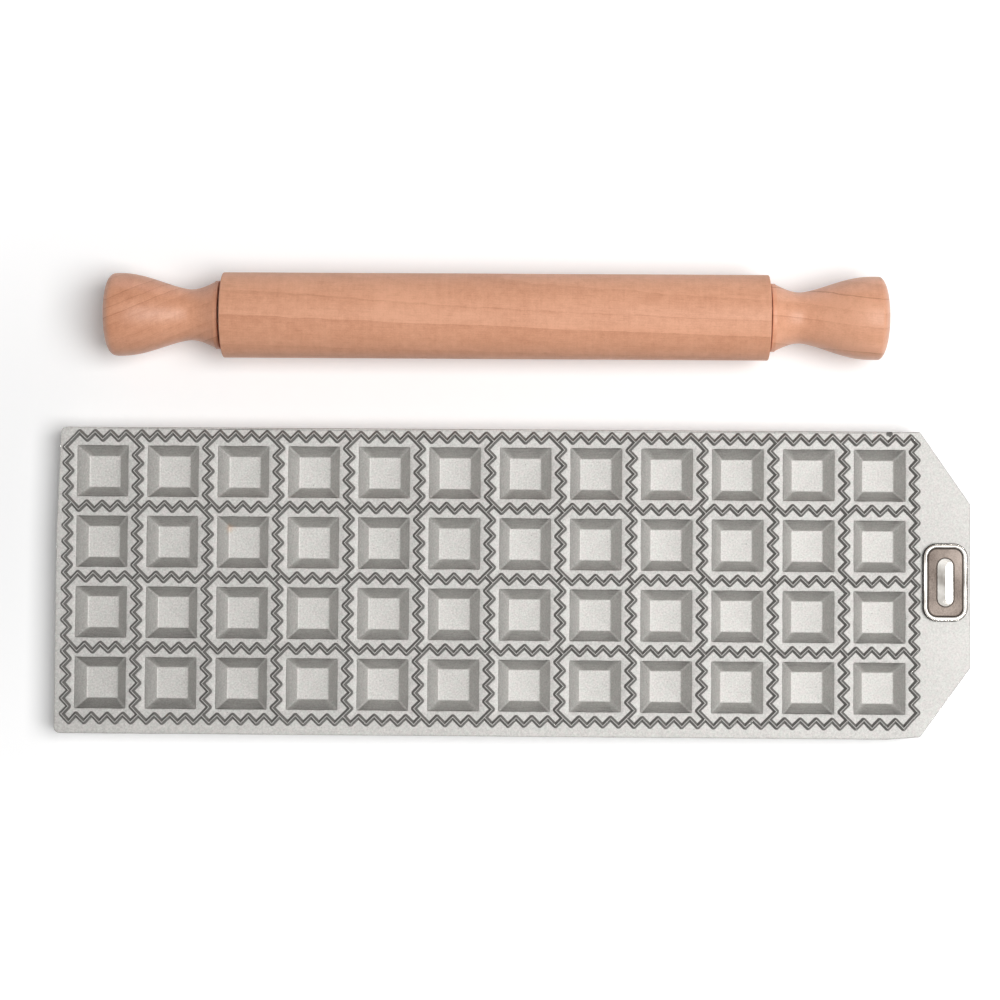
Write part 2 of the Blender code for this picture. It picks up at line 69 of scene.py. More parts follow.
# Down a cup: half its width, how deep, the radius of its corners, and how dark its painted shade is (a
# painted highlight below 0).
CUP_SIDE = [
    (0.01110, 0.00000, 0.0004, 0.0),
    (0.01100, 0.00005, 0.0004, -0.4),
    (0.01091, 0.00016, 0.0004, 0.8),
    (0.01081, 0.00032, 0.0004, 2.0),
    (0.01052, 0.00075, 0.0004, 1.25),
    (0.00690, 0.00610, 0.0006, 0.8),
    (0.00672, 0.00632, 0.0006, 0.8),
    (0.00650, 0.00645, 0.0006, 0.2),
    (0.00622, 0.00650, 0.0005, 0.0),
]
# Painted shade on the cups' walls: the front and back walls, more towards their corners, and the side walls.
FRONT_WALL_SHADE = 1.30
CORNER_SHADE = 0.55
SIDE_WALL_SHADE = 0.62
MARGIN_LEFT = 0.0045
MARGIN_BACK = 0.0037
LEFT_LEAN = 0.0014
LEFT_LEAN_RUN = 0.045
END_DRAW = 0.0004
END_DRAW_REACH = 0.0035
END_DRAW_RUN = 0.0025
FRONT_LEAN = 0.0011
FRONT_LEAN_RUN = 0.014
TAB_START = 0.0020
TAB_END_WIDTH = 0.0690
CORNER_RADII = [0.0024, 0.0, 0.0015, 0.0015, 0.0015, 0.0015, 0.0024, 0.0]
SKIRT_WALL = 0.0030
SKIRT_LIFT = 0.0010
CEILING_FILLET = 0.0014
DECK_THICKNESS = 0.0025
# Over the plate's edge: how far in from its outline, how deep under the deck, and how dark it is drawn.
EDGE_SIDE = [
    (0.00060, 0.00000, 0.0),
    (0.00034, 0.00004, 0.3),
    (0.00014, 0.00016, 1.3),
    (0.00003, 0.00036, 1.5),
    (0.00000, 0.00070, 0.8),
]
# Down a cup's outside, under the plate: half its width, how deep, and the radius of its corners.
SHELL_SIDE = [
    (0.0116, 0.0025, 0.0036),
    (0.0112, 0.0027, 0.0032),
    (0.0109, 0.0032, 0.0028),
    (0.0082, 0.0078, 0.0022),
    (0.0078, 0.0083, 0.0020),
    (0.0072, 0.0085, 0.0017),
]
BOSS_RADIUS = 0.0056
BOSS_FILLET = 0.0004
BOSS_CHAMFER = 0.0003
FOOT_HEAD_HEIGHT = 0.0032
FOOT_STEM_RADIUS = 0.0025
FOOT_STEM_LENGTH = 0.0060
SEAT_GAP = 0.0003
STUD_RADIUS = 0.0015
STUD_SPACING = 0.0200
BADGE_INSET = 0.0108
SIDE_WAVE = 0.00005
SIDE_RIPPLE = 0.00004
CREST_WAVE = 0.00006
SAND_DARK = (0.02, 0.018, 0.015, 1.0)
SAND_PALE = (1.0, 0.985, 0.965, 1.0)
GREENISH = (0.965, 0.985, 0.955, 1.0)
ROSY = (1.0, 0.965, 0.955, 1.0)
RUST_BROWN = (0.50, 0.33, 0.22, 1.0)

plate_low, plate_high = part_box("mould_plate")
DECK = plate_high.z - RIDGE_HEIGHT
CEILING = DECK - DECK_THICKNESS
GRID_LEFT = plate_low.x + MARGIN_LEFT
GRID_BACK = plate_high.y - MARGIN_BACK
BADGE_X = plate_high.x - BADGE_INSET
BADGE_Y = GRID_BACK - ROWS * PITCH / 2
STUDS = [(BADGE_X, BADGE_Y - STUD_SPACING / 2), (BADGE_X, BADGE_Y + STUD_SPACING / 2)]
FEET = {
    "foot_back_left": (GRID_LEFT + PITCH, GRID_BACK - PITCH),
    "foot_back_right": (GRID_LEFT + (COLUMNS - 1) * PITCH, GRID_BACK - PITCH),
    "foot_front_left": (GRID_LEFT + PITCH, GRID_BACK - (ROWS - 1) * PITCH),
    "foot_front_right": (GRID_LEFT + (COLUMNS - 1) * PITCH, GRID_BACK - (ROWS - 1) * PITCH),
}


def put_in_scene(name, data):
    """A new object in the scene that shows a mesh, a lamp or a camera."""
    item = bpy.data.objects.new(name, data)
    bpy.context.scene.collection.objects.link(item)
    return item


class Skin:
    """The surface of a piece, gathered from stacks of closed rings and flat faces, then welded together. Its
    marks are values that its points carry, for the finish to read.
    """

    # Points within WELD of each other become one, and edges shorter than HAIR vanish. WITHIN_LOOPS asks for
    # the triangles inside the loops alone.
    WELD = 2e-6
    HAIR = 1e-7
    WITHIN_LOOPS = 1

    def __init__(self, *marks):
        self.marks = marks
        self.points, self.worn, self.faces = [], [], []
        self.count = 0

    def add(self, points, worn, faces):
        """Keep some points with their marks, and faces that count from the first of them."""
        self.points.append(points)
        self.worn.append(np.broadcast_to(np.asarray(worn, float), (len(points), len(self.marks))))
        self.faces += (np.asarray(faces) + self.count).tolist()
        self.count += len(points)

    def rings(self, places, worn=()):
        """Join each ring of a (rings, points, 3) stack to the next by quads that close round it."""
        rows, around, _ = places.shape
        first = np.arange(rows * around).reshape(rows, around)
        ahead = np.roll(first, -1, 1)
        quads = np.stack([first[:-1], ahead[:-1], ahead[1:], first[1:]], -1).reshape(-1, 4)
        marks = np.zeros((rows, around, len(self.marks)))
        if self.marks:
            worn = np.asarray(worn, float)
            marks += worn if worn.ndim == 3 else worn.reshape(-1, 1, len(self.marks))
        self.add(places.reshape(-1, 3), marks.reshape(rows * around, len(self.marks)), quads)

    def cap(self, ring, worn=()):
        """Close a flat ring with one face."""
        self.add(ring, worn, [np.arange(len(ring))])

    def fill(self, loops, height, worn=()):
        """A flat face between closed loops, of the triangles whose middle is inside an odd number of them."""
        starts = np.cumsum([0] + [len(loop) for loop in loops])
        ahead = [start + np.roll(np.arange(len(loop)), -1) for start, loop in zip(starts, loops)]
        edges = np.column_stack([np.arange(starts[-1]), np.concatenate(ahead)]).tolist()
        points = np.vstack(loops)
        made = delaunay_2d_cdt(points.tolist(), edges, [], self.WITHIN_LOOPS, self.HAIR)
        flat, triangles = np.array(made[0]), np.array(made[2])
        x, y = np.hsplit(flat[triangles].mean(1), 2)
        start_x, start_y = points.T
        end_x, end_y = np.vstack([np.roll(loop, -1, 0) for loop in loops]).T
        crosses = (start_y > y) != (end_y > y)
        rise = np.where(end_y == start_y, 1.0, end_y - start_y)
        beyond = start_x + (y - start_y) * (end_x - start_x) / rise > x
        inside = (crosses & beyond).sum(1) % 2 == 1
        self.add(np.column_stack([flat, np.full(len(flat), height)]), worn, triangles[inside])

    def piece(self, name, finish, sharp=35.0, wander=None):
        """Weld the patches into one closed mesh with its faces outwards, and put it in the scene. Edges that
        turn by more than sharp degrees stay crisp, and wander, where it is given, shifts the points.
        """
        points = np.vstack(self.points)
        if wander:
            points = wander(points)
        mesh = bpy.data.meshes.new(name)
        mesh.from_pydata(points.tolist(), [], self.faces)
        worn = np.vstack(self.worn)
        for column, mark in enumerate(self.marks):
            mesh.attributes.new(mark, "FLOAT", "POINT").data.foreach_set("value", worn[:, column].copy())
        shape = bmesh.new()
        shape.from_mesh(mesh)
        bmesh.ops.remove_doubles(shape, verts=shape.verts, dist=self.WELD)
        bmesh.ops.dissolve_degenerate(shape, edges=shape.edges, dist=self.HAIR)
        bmesh.ops.recalc_face_normals(shape, faces=shape.faces)
        shape.to_mesh(mesh)
        shape.free()
        mesh.shade_smooth()
        mesh.set_sharp_from_angle(angle=np.radians(sharp))
        mesh.materials.append(finish)
        return put_in_scene(name, mesh)


def directions(line):
    """Unit vectors along a closed line, before and after each of its points."""
    after = np.roll(line, -1, 0) - line
    after /= np.linalg.norm(after, axis=1, keepdims=True)
    return np.roll(after, 1, 0), after


def leftwards(along):
    """Vectors turned a quarter turn anticlockwise."""
    return np.stack([-along[:, 1], along[:, 0]], 1)


def mitre(first, second):
    """Where both sides of a corner meet when each moves by its own unit vector: their sum over one more than
    their product.
    """
    return (first + second) / (1 + (first * second).sum(1, keepdims=True))


def bending(before, after):
    """The angle from each unit vector to the other, anticlockwise, from its sine and its cosine."""
    sine = before[:, 0] * after[:, 1] - before[:, 1] * after[:, 0]
    return np.arctan2(sine, (before * after).sum(1))


def circle(centre, radius, count=24):
    """Points round a circle: its centre, and its radius times the cosine and the sine of equal turns."""
    turn = np.arange(count) * 2 * np.pi / count
    return np.array(centre) + radius * np.stack([np.cos(turn), np.sin(turn)], 1)


def rounded_square(half_x, half_y, radius, steps=4):
    """An upright rectangle with arcs for corners: each arc's centre is a radius in from both sides."""
    turn = np.linspace(0, np.pi / 2, steps + 1) + np.arange(4)[:, None] * np.pi / 2
    signs = np.array([(1, 1), (-1, 1), (-1, -1), (1, -1)])[:, None, :]
    arcs = radius * np.stack([np.cos(turn), np.sin(turn)], -1)
    return (signs * (np.array([half_x, half_y]) - radius) + arcs).reshape(-1, 2)


def lifted(loops, heights):
    """Flat loops (rings, points, 2) at a height for each ring."""
    loops = np.asarray(loops)
    level = np.broadcast_to(np.asarray(heights, float)[:, None, None], loops.shape[:2] + (1,))
    return np.concatenate([loops, level], -1)


def zigzag_side(inward):
    """The ridge's corners along a cell's front side. They step half a tooth to and fro, and the first one
    goes inwards for 1 and outwards for -1.
    """
    steps = np.arange(-TEETH, TEETH + 1)
    out = np.where(steps % 2 == 0, -inward, inward) * STEP / 2
    return np.stack([steps * STEP, -PITCH / 2 - out], 1)


def quarter_turns(side):
    """A side's points followed by the same turned to the other three sides, anticlockwise."""
    turned_sides = [side]
    for _ in range(3):
        turned_sides.append(leftwards(turned_sides[-1]))
    return np.vstack(turned_sides)


def beside_ridge(line, hand, corners, steps=3):
    """Points beside a closed zigzag: the corner that each belongs to, its share of the corner's turn, and the
    way it moves for each metre from the ridge's middle. Outer corners fan out into arcs, inner ones mitre.
    """
    before, after = directions(line)
    tip = hand * bending(before, after) < -SHARP_TURN
    copies = np.where(tip | corners, steps + 1, 1)
    corner = np.repeat(np.arange(len(line)), copies)
    share = np.arange(len(corner)) - np.repeat(np.cumsum(copies) - copies, copies)
    share = np.where(copies[corner] > 1, share / steps, 0.5)
    first, second = hand * leftwards(before)[corner], hand * leftwards(after)[corner]
    fan = first * (1 - share[:, None]) + second * share[:, None]
    fan /= np.linalg.norm(fan, axis=1, keepdims=True)
    return corner, share, np.where(tip[corner][:, None], fan, mitre(first, second))


def cell_skin(inward):
    """One cell's ridge, deck and cup round its centre, for a ridge that first steps inwards (1) or outwards
    (-1). A ring of the cup is the ridge's last ring, scaled at each point until it meets a square, whose
    corners are arcs. Its walls carry painted shade, the front and back walls more than the side walls, and
    more again by the cube of how near a corner is.
    """
    side = zigzag_side(inward)
    if inward > 0:
        line = quarter_turns(side[:-1])
    else:
        line = quarter_turns(np.vstack([[-PITCH / 2, -PITCH / 2], side]))
    corners = np.zeros(len(line), bool)
    corners[::len(line) // 4] = True
    corner, share, away = beside_ridge(line, 1, corners)
    loops = [line[corner] + distance * away for distance, _, _ in RIDGE_SIDE]
    heights = [height for _, height, _ in RIDGE_SIDE]
    last = loops[-1]
    marks = [np.broadcast_to((worn, 0.0), last.shape) for _, _, worn in RIDGE_SIDE]
    turn = np.arctan2(last[:, 1], last[:, 0]) + (share - 0.5) * np.pi / 2
    round_way = np.stack([np.cos(turn), np.sin(turn)], 1)
    aside = np.abs(last[:, 0] / last[:, 1])
    # Painted shade for the walls: heavier on the front and back walls, and towards their corners.
    front_wall_shade = FRONT_WALL_SHADE + CORNER_SHADE * np.minimum(aside, 1) ** 3
    painted_wall_shade = np.where(aside < 1, front_wall_shade, SIDE_WALL_SHADE)
    for half, depth, radius, wall in CUP_SIDE:
        square = last * half / np.abs(last).max(1, keepdims=True)
        arc = np.sign(last) * (half - radius) + radius * round_way
        loops.append(np.where(corners[corner][:, None], arc, square))
        heights.append(-depth)
        marks.append(np.stack([np.zeros(len(last)), wall * painted_wall_shade], 1))
    return lifted(loops, heights), np.array(marks)


def cell_centre(row, column):
    """The middle of a cell, counted from the grid's back left corner."""
    return [GRID_LEFT + (column + 0.5) * PITCH, GRID_BACK - (row + 0.5) * PITCH]


def grid_line():
    """The ridge's middle round the whole grid, anticlockwise from its front left corner: the zigzag of each
    outer cell's outer side, one after another.
    """
    half = np.array([COLUMNS, ROWS]) * PITCH / 2
    sides = []
    for quarter, count in enumerate((COLUMNS, ROWS, COLUMNS, ROWS)):
        start = (ROWS - 1, ROWS + COLUMNS - 2, COLUMNS - 1, 0)[quarter]
        run = []
        for cell in range(count):
            inward = 1 if (start + cell) % 2 == 0 else -1
            middle = (cell + 0.5 - count / 2) * PITCH
            if cell or inward < 0:
                run.append([[middle - PITCH / 2, 0.0]])
            run.append(zigzag_side(inward) + [middle, PITCH / 2])
        run = np.vstack(run) - [0.0, half[1 - quarter % 2]]
        for _ in range(quarter):
            run = leftwards(run)
        sides.append(run)
    line = np.vstack(sides)
    kept = np.linalg.norm(line - np.roll(line, 1, 0), axis=1) > STEP / 1000
    return line[kept] + [GRID_LEFT + half[0], GRID_BACK - half[1]]


def drawn_in(points):
    """The points, moved towards the grid's middle by a share of END_DRAW that grows to one by its ends."""
    middle = GRID_LEFT + COLUMNS * PITCH / 2
    aside = points[..., 0] - middle
    share = np.clip((np.abs(aside) - COLUMNS * PITCH / 2 + END_DRAW_REACH) / END_DRAW_RUN, 0, 1)
    moved = points.copy()
    moved[..., 0] -= END_DRAW * share * np.sign(aside)
    return moved


def plate_outline(inset, steps=5):
    """The plate's outline, moved in. The centre of each corner's arc is a radius in from both sides."""
    tab_start = GRID_LEFT + COLUMNS * PITCH + TAB_START
    middle = (plate_low.y + plate_high.y) / 2
    corners = np.array([
        (plate_low.x, plate_low.y),
        (tab_start - FRONT_LEAN_RUN, plate_low.y),
        (tab_start, plate_low.y + FRONT_LEAN),
        (plate_high.x, middle - TAB_END_WIDTH / 2),
        (plate_high.x, middle + TAB_END_WIDTH / 2),
        (tab_start, plate_high.y),
        (plate_low.x + LEFT_LEAN, plate_high.y),
        (plate_low.x, plate_high.y - LEFT_LEAN_RUN),
    ])
    before, after = directions(corners)
    inwards = mitre(leftwards(before), leftwards(after))
    radius = np.maximum(np.array(CORNER_RADII) - inset, np.array(CORNER_RADII) / 4)[:, None]
    centre = corners + (inset + radius) * inwards
    outwards = np.arctan2(-inwards[:, 1], -inwards[:, 0])
    half_turn = bending(before, after) / 2
    turn = outwards[:, None] + half_turn[:, None] * np.linspace(-1, 1, steps + 1)
    arcs = radius[..., None] * np.stack([np.cos(turn), np.sin(turn)], -1)
    return (centre[:, None, :] + arcs).reshape(-1, 2)


def hand_dressed(points):
    """The waviness of a pattern finished by hand. Sines of the place, in radians to a metre, shift the points
    sideways by up to 0.09 mm, and the ridges' crests up and down by up to 0.12 mm.
    """
    x, y, z = points.T
    over = np.clip((z - CEILING) / (DECK - CEILING), 0, 1)
    shift_x = SIDE_WAVE * np.sin(410 * y + 90 * x) + SIDE_RIPPLE * np.sin(930 * y - 310 * x + 1.3)
    shift_y = SIDE_WAVE * np.sin(370 * x - 110 * y + 0.7) + SIDE_RIPPLE * np.sin(870 * x + 290 * y)
    crest = np.clip((z - DECK) / RIDGE_HEIGHT, 0, 1)
    dip = CREST_WAVE * (np.sin(640 * x + 200 * y) + np.sin(590 * y - 350 * x + 2.0)) * crest
    return points + np.stack([shift_x * over, shift_y * over, dip], 1)


class Wire:
    """A socket in a finish. Arithmetic on it adds Math nodes, and node() adds any other node."""

    def __init__(self, tree, socket=None):
        self.tree = tree
        self.socket = socket

    def node(self, kind, settings, sockets, output=0):
        """Add a node of a kind: its settings first, then the values or links of its sockets."""
        made = self.tree.nodes.new("ShaderNode" + kind)
        for name, value in settings.items():
            if name == "stops":
                ramp = made.color_ramp.elements
                while len(ramp) < len(value):
                    ramp.new(0.5)
                for stop, (place, colour) in zip(ramp, value):
                    stop.position = place
                    stop.color = colour
            else:
                setattr(made, name, value)
        for name, value in sockets.items():
            if isinstance(value, Wire):
                self.tree.links.new(value.socket, made.inputs[name])
            else:
                made.inputs[name].default_value = value
        return Wire(self.tree, made.outputs[output])

    def math(self, operation, *others):
        """A Math node on this value and others."""
        return self.node("Math", {"operation": operation}, dict(enumerate((self, *others))))

    def __add__(self, other):
        return self.math("ADD", other)

    def __sub__(self, other):
        return self.math("SUBTRACT", other)

    def __mul__(self, other):
        return self.math("MULTIPLY", other)

    def __rsub__(self, other):
        return self.node("Math", {"operation": "SUBTRACT"}, {0: other, 1: self})

    __radd__ = __add__
    __rmul__ = __mul__

    def held(self):
        """The value held between 0 and 1."""
        return self.node("Math", {"operation": "ADD", "use_clamp": True}, {0: self, 1: 0.0})

    def ramp(self, *stops):
        """The value turned into greys: pairs of a place and how bright it is there."""
        greys = [(place, (grey, grey, grey, 1.0)) for place, grey in stops]
        return self.node("ValToRGB", {"stops": greys}, {0: self})

    def tint(self, plain, marked):
        """One colour where this mask is 0 and another where it is 1."""
        return self.node("Mix", {"data_type": "RGBA"}, {0: self, 6: plain, 7: marked}, 2)

    def distance(self, point):
        """How far this place is from a point."""
        return self.node("VectorMath", {"operation": "DISTANCE"}, {0: self, 1: point}, "Value")

    def mark(self, name):
        """The value that a mesh carries at its points under a name."""
        return self.node("Attribute", {"attribute_name": name}, {}, "Fac")

    def grains(self, scale):
        """How far this vector is from the middle of its grain, with so many grains to a metre."""
        return self.node("TexVoronoi", {"feature": "F1"}, {"Vector": self, "Scale": scale}, "Distance")

    def bump(self, strength, distance):
        """A normal bent by this height, where a height of 1 stands for a distance."""
        return self.node("Bump", {}, {"Strength": strength, "Distance": distance, "Height": self})

    def noise(self, scale, detail=2.0, rough=0.5):
        """Cloudy noise about 0.5 on this vector, with so many features to a metre."""
        sockets = {"Vector": self, "Scale": scale, "Detail": detail, "Roughness": rough}
        return self.node("TexNoise", {}, sockets)


def new_finish(name, **fixed):
    """A new material, its Principled shader with some sockets set, and the place of each point it covers."""
    finish = bpy.data.materials.new(name)
    finish.use_nodes = True
    shader = finish.node_tree.nodes["Principled BSDF"]
    for socket, value in fixed.items():
        shader.inputs[socket.replace("_", " ")].default_value = value
    place = Wire(finish.node_tree).node("TexCoord", {}, {}, "Object")
    return finish, shader, place


def feed(shader, **wires):
    """Link worked-out values to a shader's sockets."""
    for socket, wire in wires.items():
        wire.tree.links.new(wire.socket, shader.inputs[socket.replace("_", " ")])


def stretched(place, x, y, z, centre=(0.0, 0.0, 0.0)):
    """Places measured from a centre, with each axis stretched by its own factor."""
    moved = place.node("VectorMath", {"operation": "SUBTRACT"}, {0: place, 1: centre})
    return place.node("VectorMath", {"operation": "MULTIPLY"}, {0: moved, 1: (x, y, z)})


RUST_SPOT = (-0.1206, -0.0104, DECK - 0.0062)
RUST_REACH = 0.0021
FLAW_SPOT = (0.1597, 0.0312, DECK)
FLAW_REACH = 0.0012
# Painted shade: the casting darkens towards its front left end, and its walls more so.
PAINTED_SHADE_END = (-0.1960, -0.1100, DECK)
PAINTED_SHADE_REACH = 0.1500


def spot(place, centre, reach, ragged, crisp=1.0):
    """A blot: 1 round its centre, 0 past its reach. Noise makes its edge ragged, and crisp makes it steep."""
    edge = (place.noise(ragged, 3.0) - 0.5) * 1.6
    return ((1.3 - place.distance(centre) * (1 / reach) + edge) * crisp).held()


def cast_aluminium():
    """Pale sandy skin of fine specks, slow clouds and a few pits, with painted shade that darkens it towards
    the front left end. The cups' walls are smoother, greyed by painted shade with drawn lines in it and with
    a painted highlight along their lips, and painted shade darkens the ridges' flanks. One floor keeps a
    faint rust stain, and the back edge a dark flaw of the casting.
    """
    finish, shader, place = new_finish("cast_aluminium", IOR=1.45)
    flank = place.mark("flank")
    wall = place.mark("wall")
    speck = place.noise(1300.0, 2.0, 0.6)
    grit = place.noise(2900.0, 1.0)
    cloud = place.noise(26.0, 3.0)
    hue = place.noise(620.0, 2.0)
    streak = stretched(place, 0.06, 0.06, 1.0).noise(2600.0, 2.0, 0.6)
    patchy = place.noise(90.0).ramp((0.50, 0.0), (0.56, 1.0))
    pit = place.grains(260.0).ramp((0.05, 1.0), (0.10, 0.0)) * patchy
    flaw = spot(place, FLAW_SPOT, FLAW_REACH, 1500.0, 3.0)
    painted_shade = (1.0 - place.distance(PAINTED_SHADE_END) * (1 / PAINTED_SHADE_REACH)).held()
    tone = 1.0 + (speck - 0.5) * 0.90 + (grit - 0.5) * 0.40 + (cloud - 0.5) * 0.16
    # Painted shade greys the walls and darkens the ridges' flanks. A wall mark below 0 paints a highlight on
    # the cups' lips.
    tone = tone * (1.0 - wall * (0.22 + (streak - 0.5) * 0.30)) * (1.0 - flank * 0.71)
    # The last factor is painted shade towards the front left end, stronger on the walls.
    tone = tone * (1.0 - pit * 0.35) * (1.0 - flaw * 0.86) * (1.0 - painted_shade * (0.10 + wall.held() * 0.16))
    warmth = (0.5 + (hue - 0.5) * 3.0).held().tint(GREENISH, ROSY)
    sand = (tone * 0.54).held().tint(SAND_DARK, SAND_PALE)
    multiply = {"data_type": "RGBA", "blend_type": "MULTIPLY"}
    colour = place.node("Mix", multiply, {0: 1.0, 6: sand, 7: warmth}, 2)
    rust = spot(place, RUST_SPOT, RUST_REACH, 700.0) * 0.45
    colour = rust.tint(colour, RUST_BROWN)
    metal = 0.28 + wall.held() * 0.32 - flank * 0.18
    rough = 0.61 + (speck - 0.5) * 0.3 - wall.held() * 0.12 - flank * 0.05
    height = (speck * 0.6 + grit * 0.4) * (1.0 - wall.held() * 0.7) + wall * (streak * 0.5) - pit * 0.8
    feed(shader, Base_Color=colour, Metallic=metal, Roughness=rough, Normal=height.bump(0.6, 0.00008))
    return finish


# Both marks of a skin at nothing.
BARE = (0.0, 0.0)
plate_skin = Skin("flank", "wall")
ceiling_inset = SKIRT_WALL + CEILING_FILLET
ceiling_loops = [plate_outline(ceiling_inset)]
for row in range(ROWS):
    for column in range(COLUMNS):
        cell, cell_marks = cell_skin(1 if (row + column) % 2 == 0 else -1)
        cell = drawn_in(cell + [*cell_centre(row, column), DECK])
        plate_skin.rings(cell, cell_marks)
        plate_skin.cap(cell[-1], BARE)
        shell = lifted([rounded_square(half, half, radius) for half, _, radius in SHELL_SIDE],
                       [DECK - depth for _, depth, _ in SHELL_SIDE])
        shell[..., :2] += cell_centre(row, column)
        plate_skin.rings(shell, BARE)
        plate_skin.cap(shell[-1], BARE)
        mouth, _, mouth_corner = SHELL_SIDE[0]
        ceiling_loops.append(rounded_square(mouth, mouth, mouth_corner) + cell_centre(row, column))
outer_line = grid_line()
outer_corner, _, outer_away = beside_ridge(outer_line, -1, np.zeros(len(outer_line), bool))
outer_rings = lifted([outer_line[outer_corner] + distance * outer_away for distance, _, _ in RIDGE_SIDE],
                     [DECK + height for _, height, _ in RIDGE_SIDE])
outer_rings = drawn_in(outer_rings)
# The outer ridge carries the same painted shade on its flanks.
plate_skin.rings(outer_rings, [(worn, 0.0) for _, _, worn in RIDGE_SIDE])
deck_loops = [plate_outline(EDGE_SIDE[0][0]), outer_rings[-1, :, :2]]
for stud in STUDS:
    stud_hole = circle(stud, STUD_RADIUS + SEAT_GAP)
    deck_loops.append(stud_hole)
    ceiling_loops.append(stud_hole)
    plate_skin.rings(lifted([stud_hole] * 2, [DECK, CEILING]), BARE)
foot_hole = FOOT_STEM_RADIUS + SEAT_GAP
foot_seat = FOOT_HEAD_HEIGHT + SEAT_GAP
boss_side = BOSS_RADIUS - BOSS_FILLET
# Down a boss, under its seat and up its hole: how high, and how wide.
boss_profile = [
    (CEILING, BOSS_RADIUS),
    (CEILING - 0.0005, boss_side),
    (foot_seat + BOSS_CHAMFER, boss_side),
    (foot_seat, boss_side - BOSS_CHAMFER),
    (foot_seat, foot_hole + BOSS_CHAMFER),
    (foot_seat + BOSS_CHAMFER, foot_hole),
    (foot_seat + FOOT_STEM_LENGTH, foot_hole),
]
for foot in FEET.values():
    boss = lifted([circle(foot, radius, count=32) for _, radius in boss_profile],
                  [level for level, _ in boss_profile])
    ceiling_loops.append(circle(foot, BOSS_RADIUS, count=32))
    plate_skin.rings(boss, BARE)
    plate_skin.cap(boss[-1], BARE)
plate_skin.fill(deck_loops, DECK, BARE)
plate_skin.fill(ceiling_loops, CEILING, BARE)
skirt_foot = DECK - SKIRT_LIFT
# The edge, then the skirt's outside, foot and inside, up to the ceiling, in the same three values.
skirt = EDGE_SIDE + [
    (0.0, 0.0014, 0.0),
    (0.0, skirt_foot - 0.0005, 0.0),
    (0.0002, skirt_foot - 0.0001, 0.0),
    (0.0006, skirt_foot, 0.0),
    (SKIRT_WALL - 0.0005, skirt_foot, 0.0),
    (SKIRT_WALL - 0.0001, skirt_foot - 0.0004, 0.0),
    (SKIRT_WALL + 0.0003, DECK_THICKNESS + 0.0011, 0.0),
    (SKIRT_WALL + 0.0006, DECK_THICKNESS + 0.0004, 0.0),
    (ceiling_inset, DECK_THICKNESS, 0.0),
]
skirt_rings = lifted([plate_outline(inset) for inset, _, _ in skirt], [DECK - depth for _, depth, _ in skirt])
plate_skin.rings(skirt_rings, [(0.0, wall) for _, _, wall in skirt])
mould = plate_skin.piece("mould_casting", cast_aluminium(), sharp=38.0, wander=hand_dressed)
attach(mould, "mould")
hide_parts("mould_plate")


# Feet: four black rubber bumpers, so that the mould neither slides nor rings on the table. Each stands on a
# low round head, and its ribbed stem is pushed up into a boss of the casting. The dimple underneath is where
# the rubber ran in.

FOOT_HEAD_RADIUS = 0.0060
FOOT_EDGE = 0.0008
FOOT_DIMPLE = 0.0013
FOOT_DIMPLE_DEPTH = 0.0004
FOOT_RIBS = 4
FOOT_RIB_HEIGHT = 0.00016
FOOT_RIB_START = 0.16
FOOT_RIB_RUN = 0.68
RUBBER_BLACK = (0.018, 0.018, 0.019, 1.0)
RUBBER_BLOOM = (0.05, 0.05, 0.052, 1.0)


def eased(profile, steps=4):
    """A profile of corners (distance, radius, round). Each corner gives way to an arc, which leaves and meets
    the lines beside it at the tangent of half its turn times its round.
    """
    corner, ease = np.array(profile)[:, :2], np.array(profile)[1:-1, 2:]
    along = np.diff(corner, axis=0)
    along /= np.linalg.norm(along, axis=1, keepdims=True)
    before, after = along[:-1], along[1:]
    bend = bending(before, after)[:, None]
    towards = np.sign(bend) * leftwards(before)
    centre = corner[1:-1] - ease * np.abs(np.tan(bend / 2)) * before + ease * towards
    angle = np.arctan2(-towards[:, 1:], -towards[:, :1]) + bend * np.linspace(0, 1, steps + 1)
    arcs = centre[:, None] + ease[:, None] * np.stack([np.cos(angle), np.sin(angle)], -1)
    line = np.vstack([corner[:1], arcs.reshape(-1, 2), corner[-1:]])
    apart = np.linalg.norm(np.diff(line, axis=0), axis=1) > Skin.HAIR
    return line[np.append(True, apart)]


def turned(profile, centre, axis=2, around=64):
    """The circles of a turned piece: at each distance along X (0) or Z (2), the profile's radius times the
    cosine and the sine of equal turns.
    """
    distance, radius = np.array(profile).T[:, :, None]
    turn = np.arange(around) * 2 * np.pi / around
    level = np.broadcast_to(distance, (len(distance), around))
    rings = np.stack([radius * np.cos(turn), radius * np.sin(turn), level], -1)
    return np.roll(rings, axis - 2, -1) + np.asarray(centre)


def foot_rubber():
    """Black rubber with a cloudy grey bloom and a fine grain."""
    finish, shader, place = new_finish("foot_rubber", Metallic=0.0, IOR=1.5)
    grain = place.noise(2600.0, 3.0, 0.6)
    bloom = place.noise(240.0, 3.0)
    grey = ((bloom - 0.35) * 2.2 + (grain - 0.5) * 0.6).held()
    colour = grey.tint(RUBBER_BLACK, RUBBER_BLOOM)
    rough = 0.66 + (bloom - 0.5) * 0.3
    feed(shader, Base_Color=colour, Roughness=rough, Normal=grain.bump(0.6, 0.00008))
    return finish


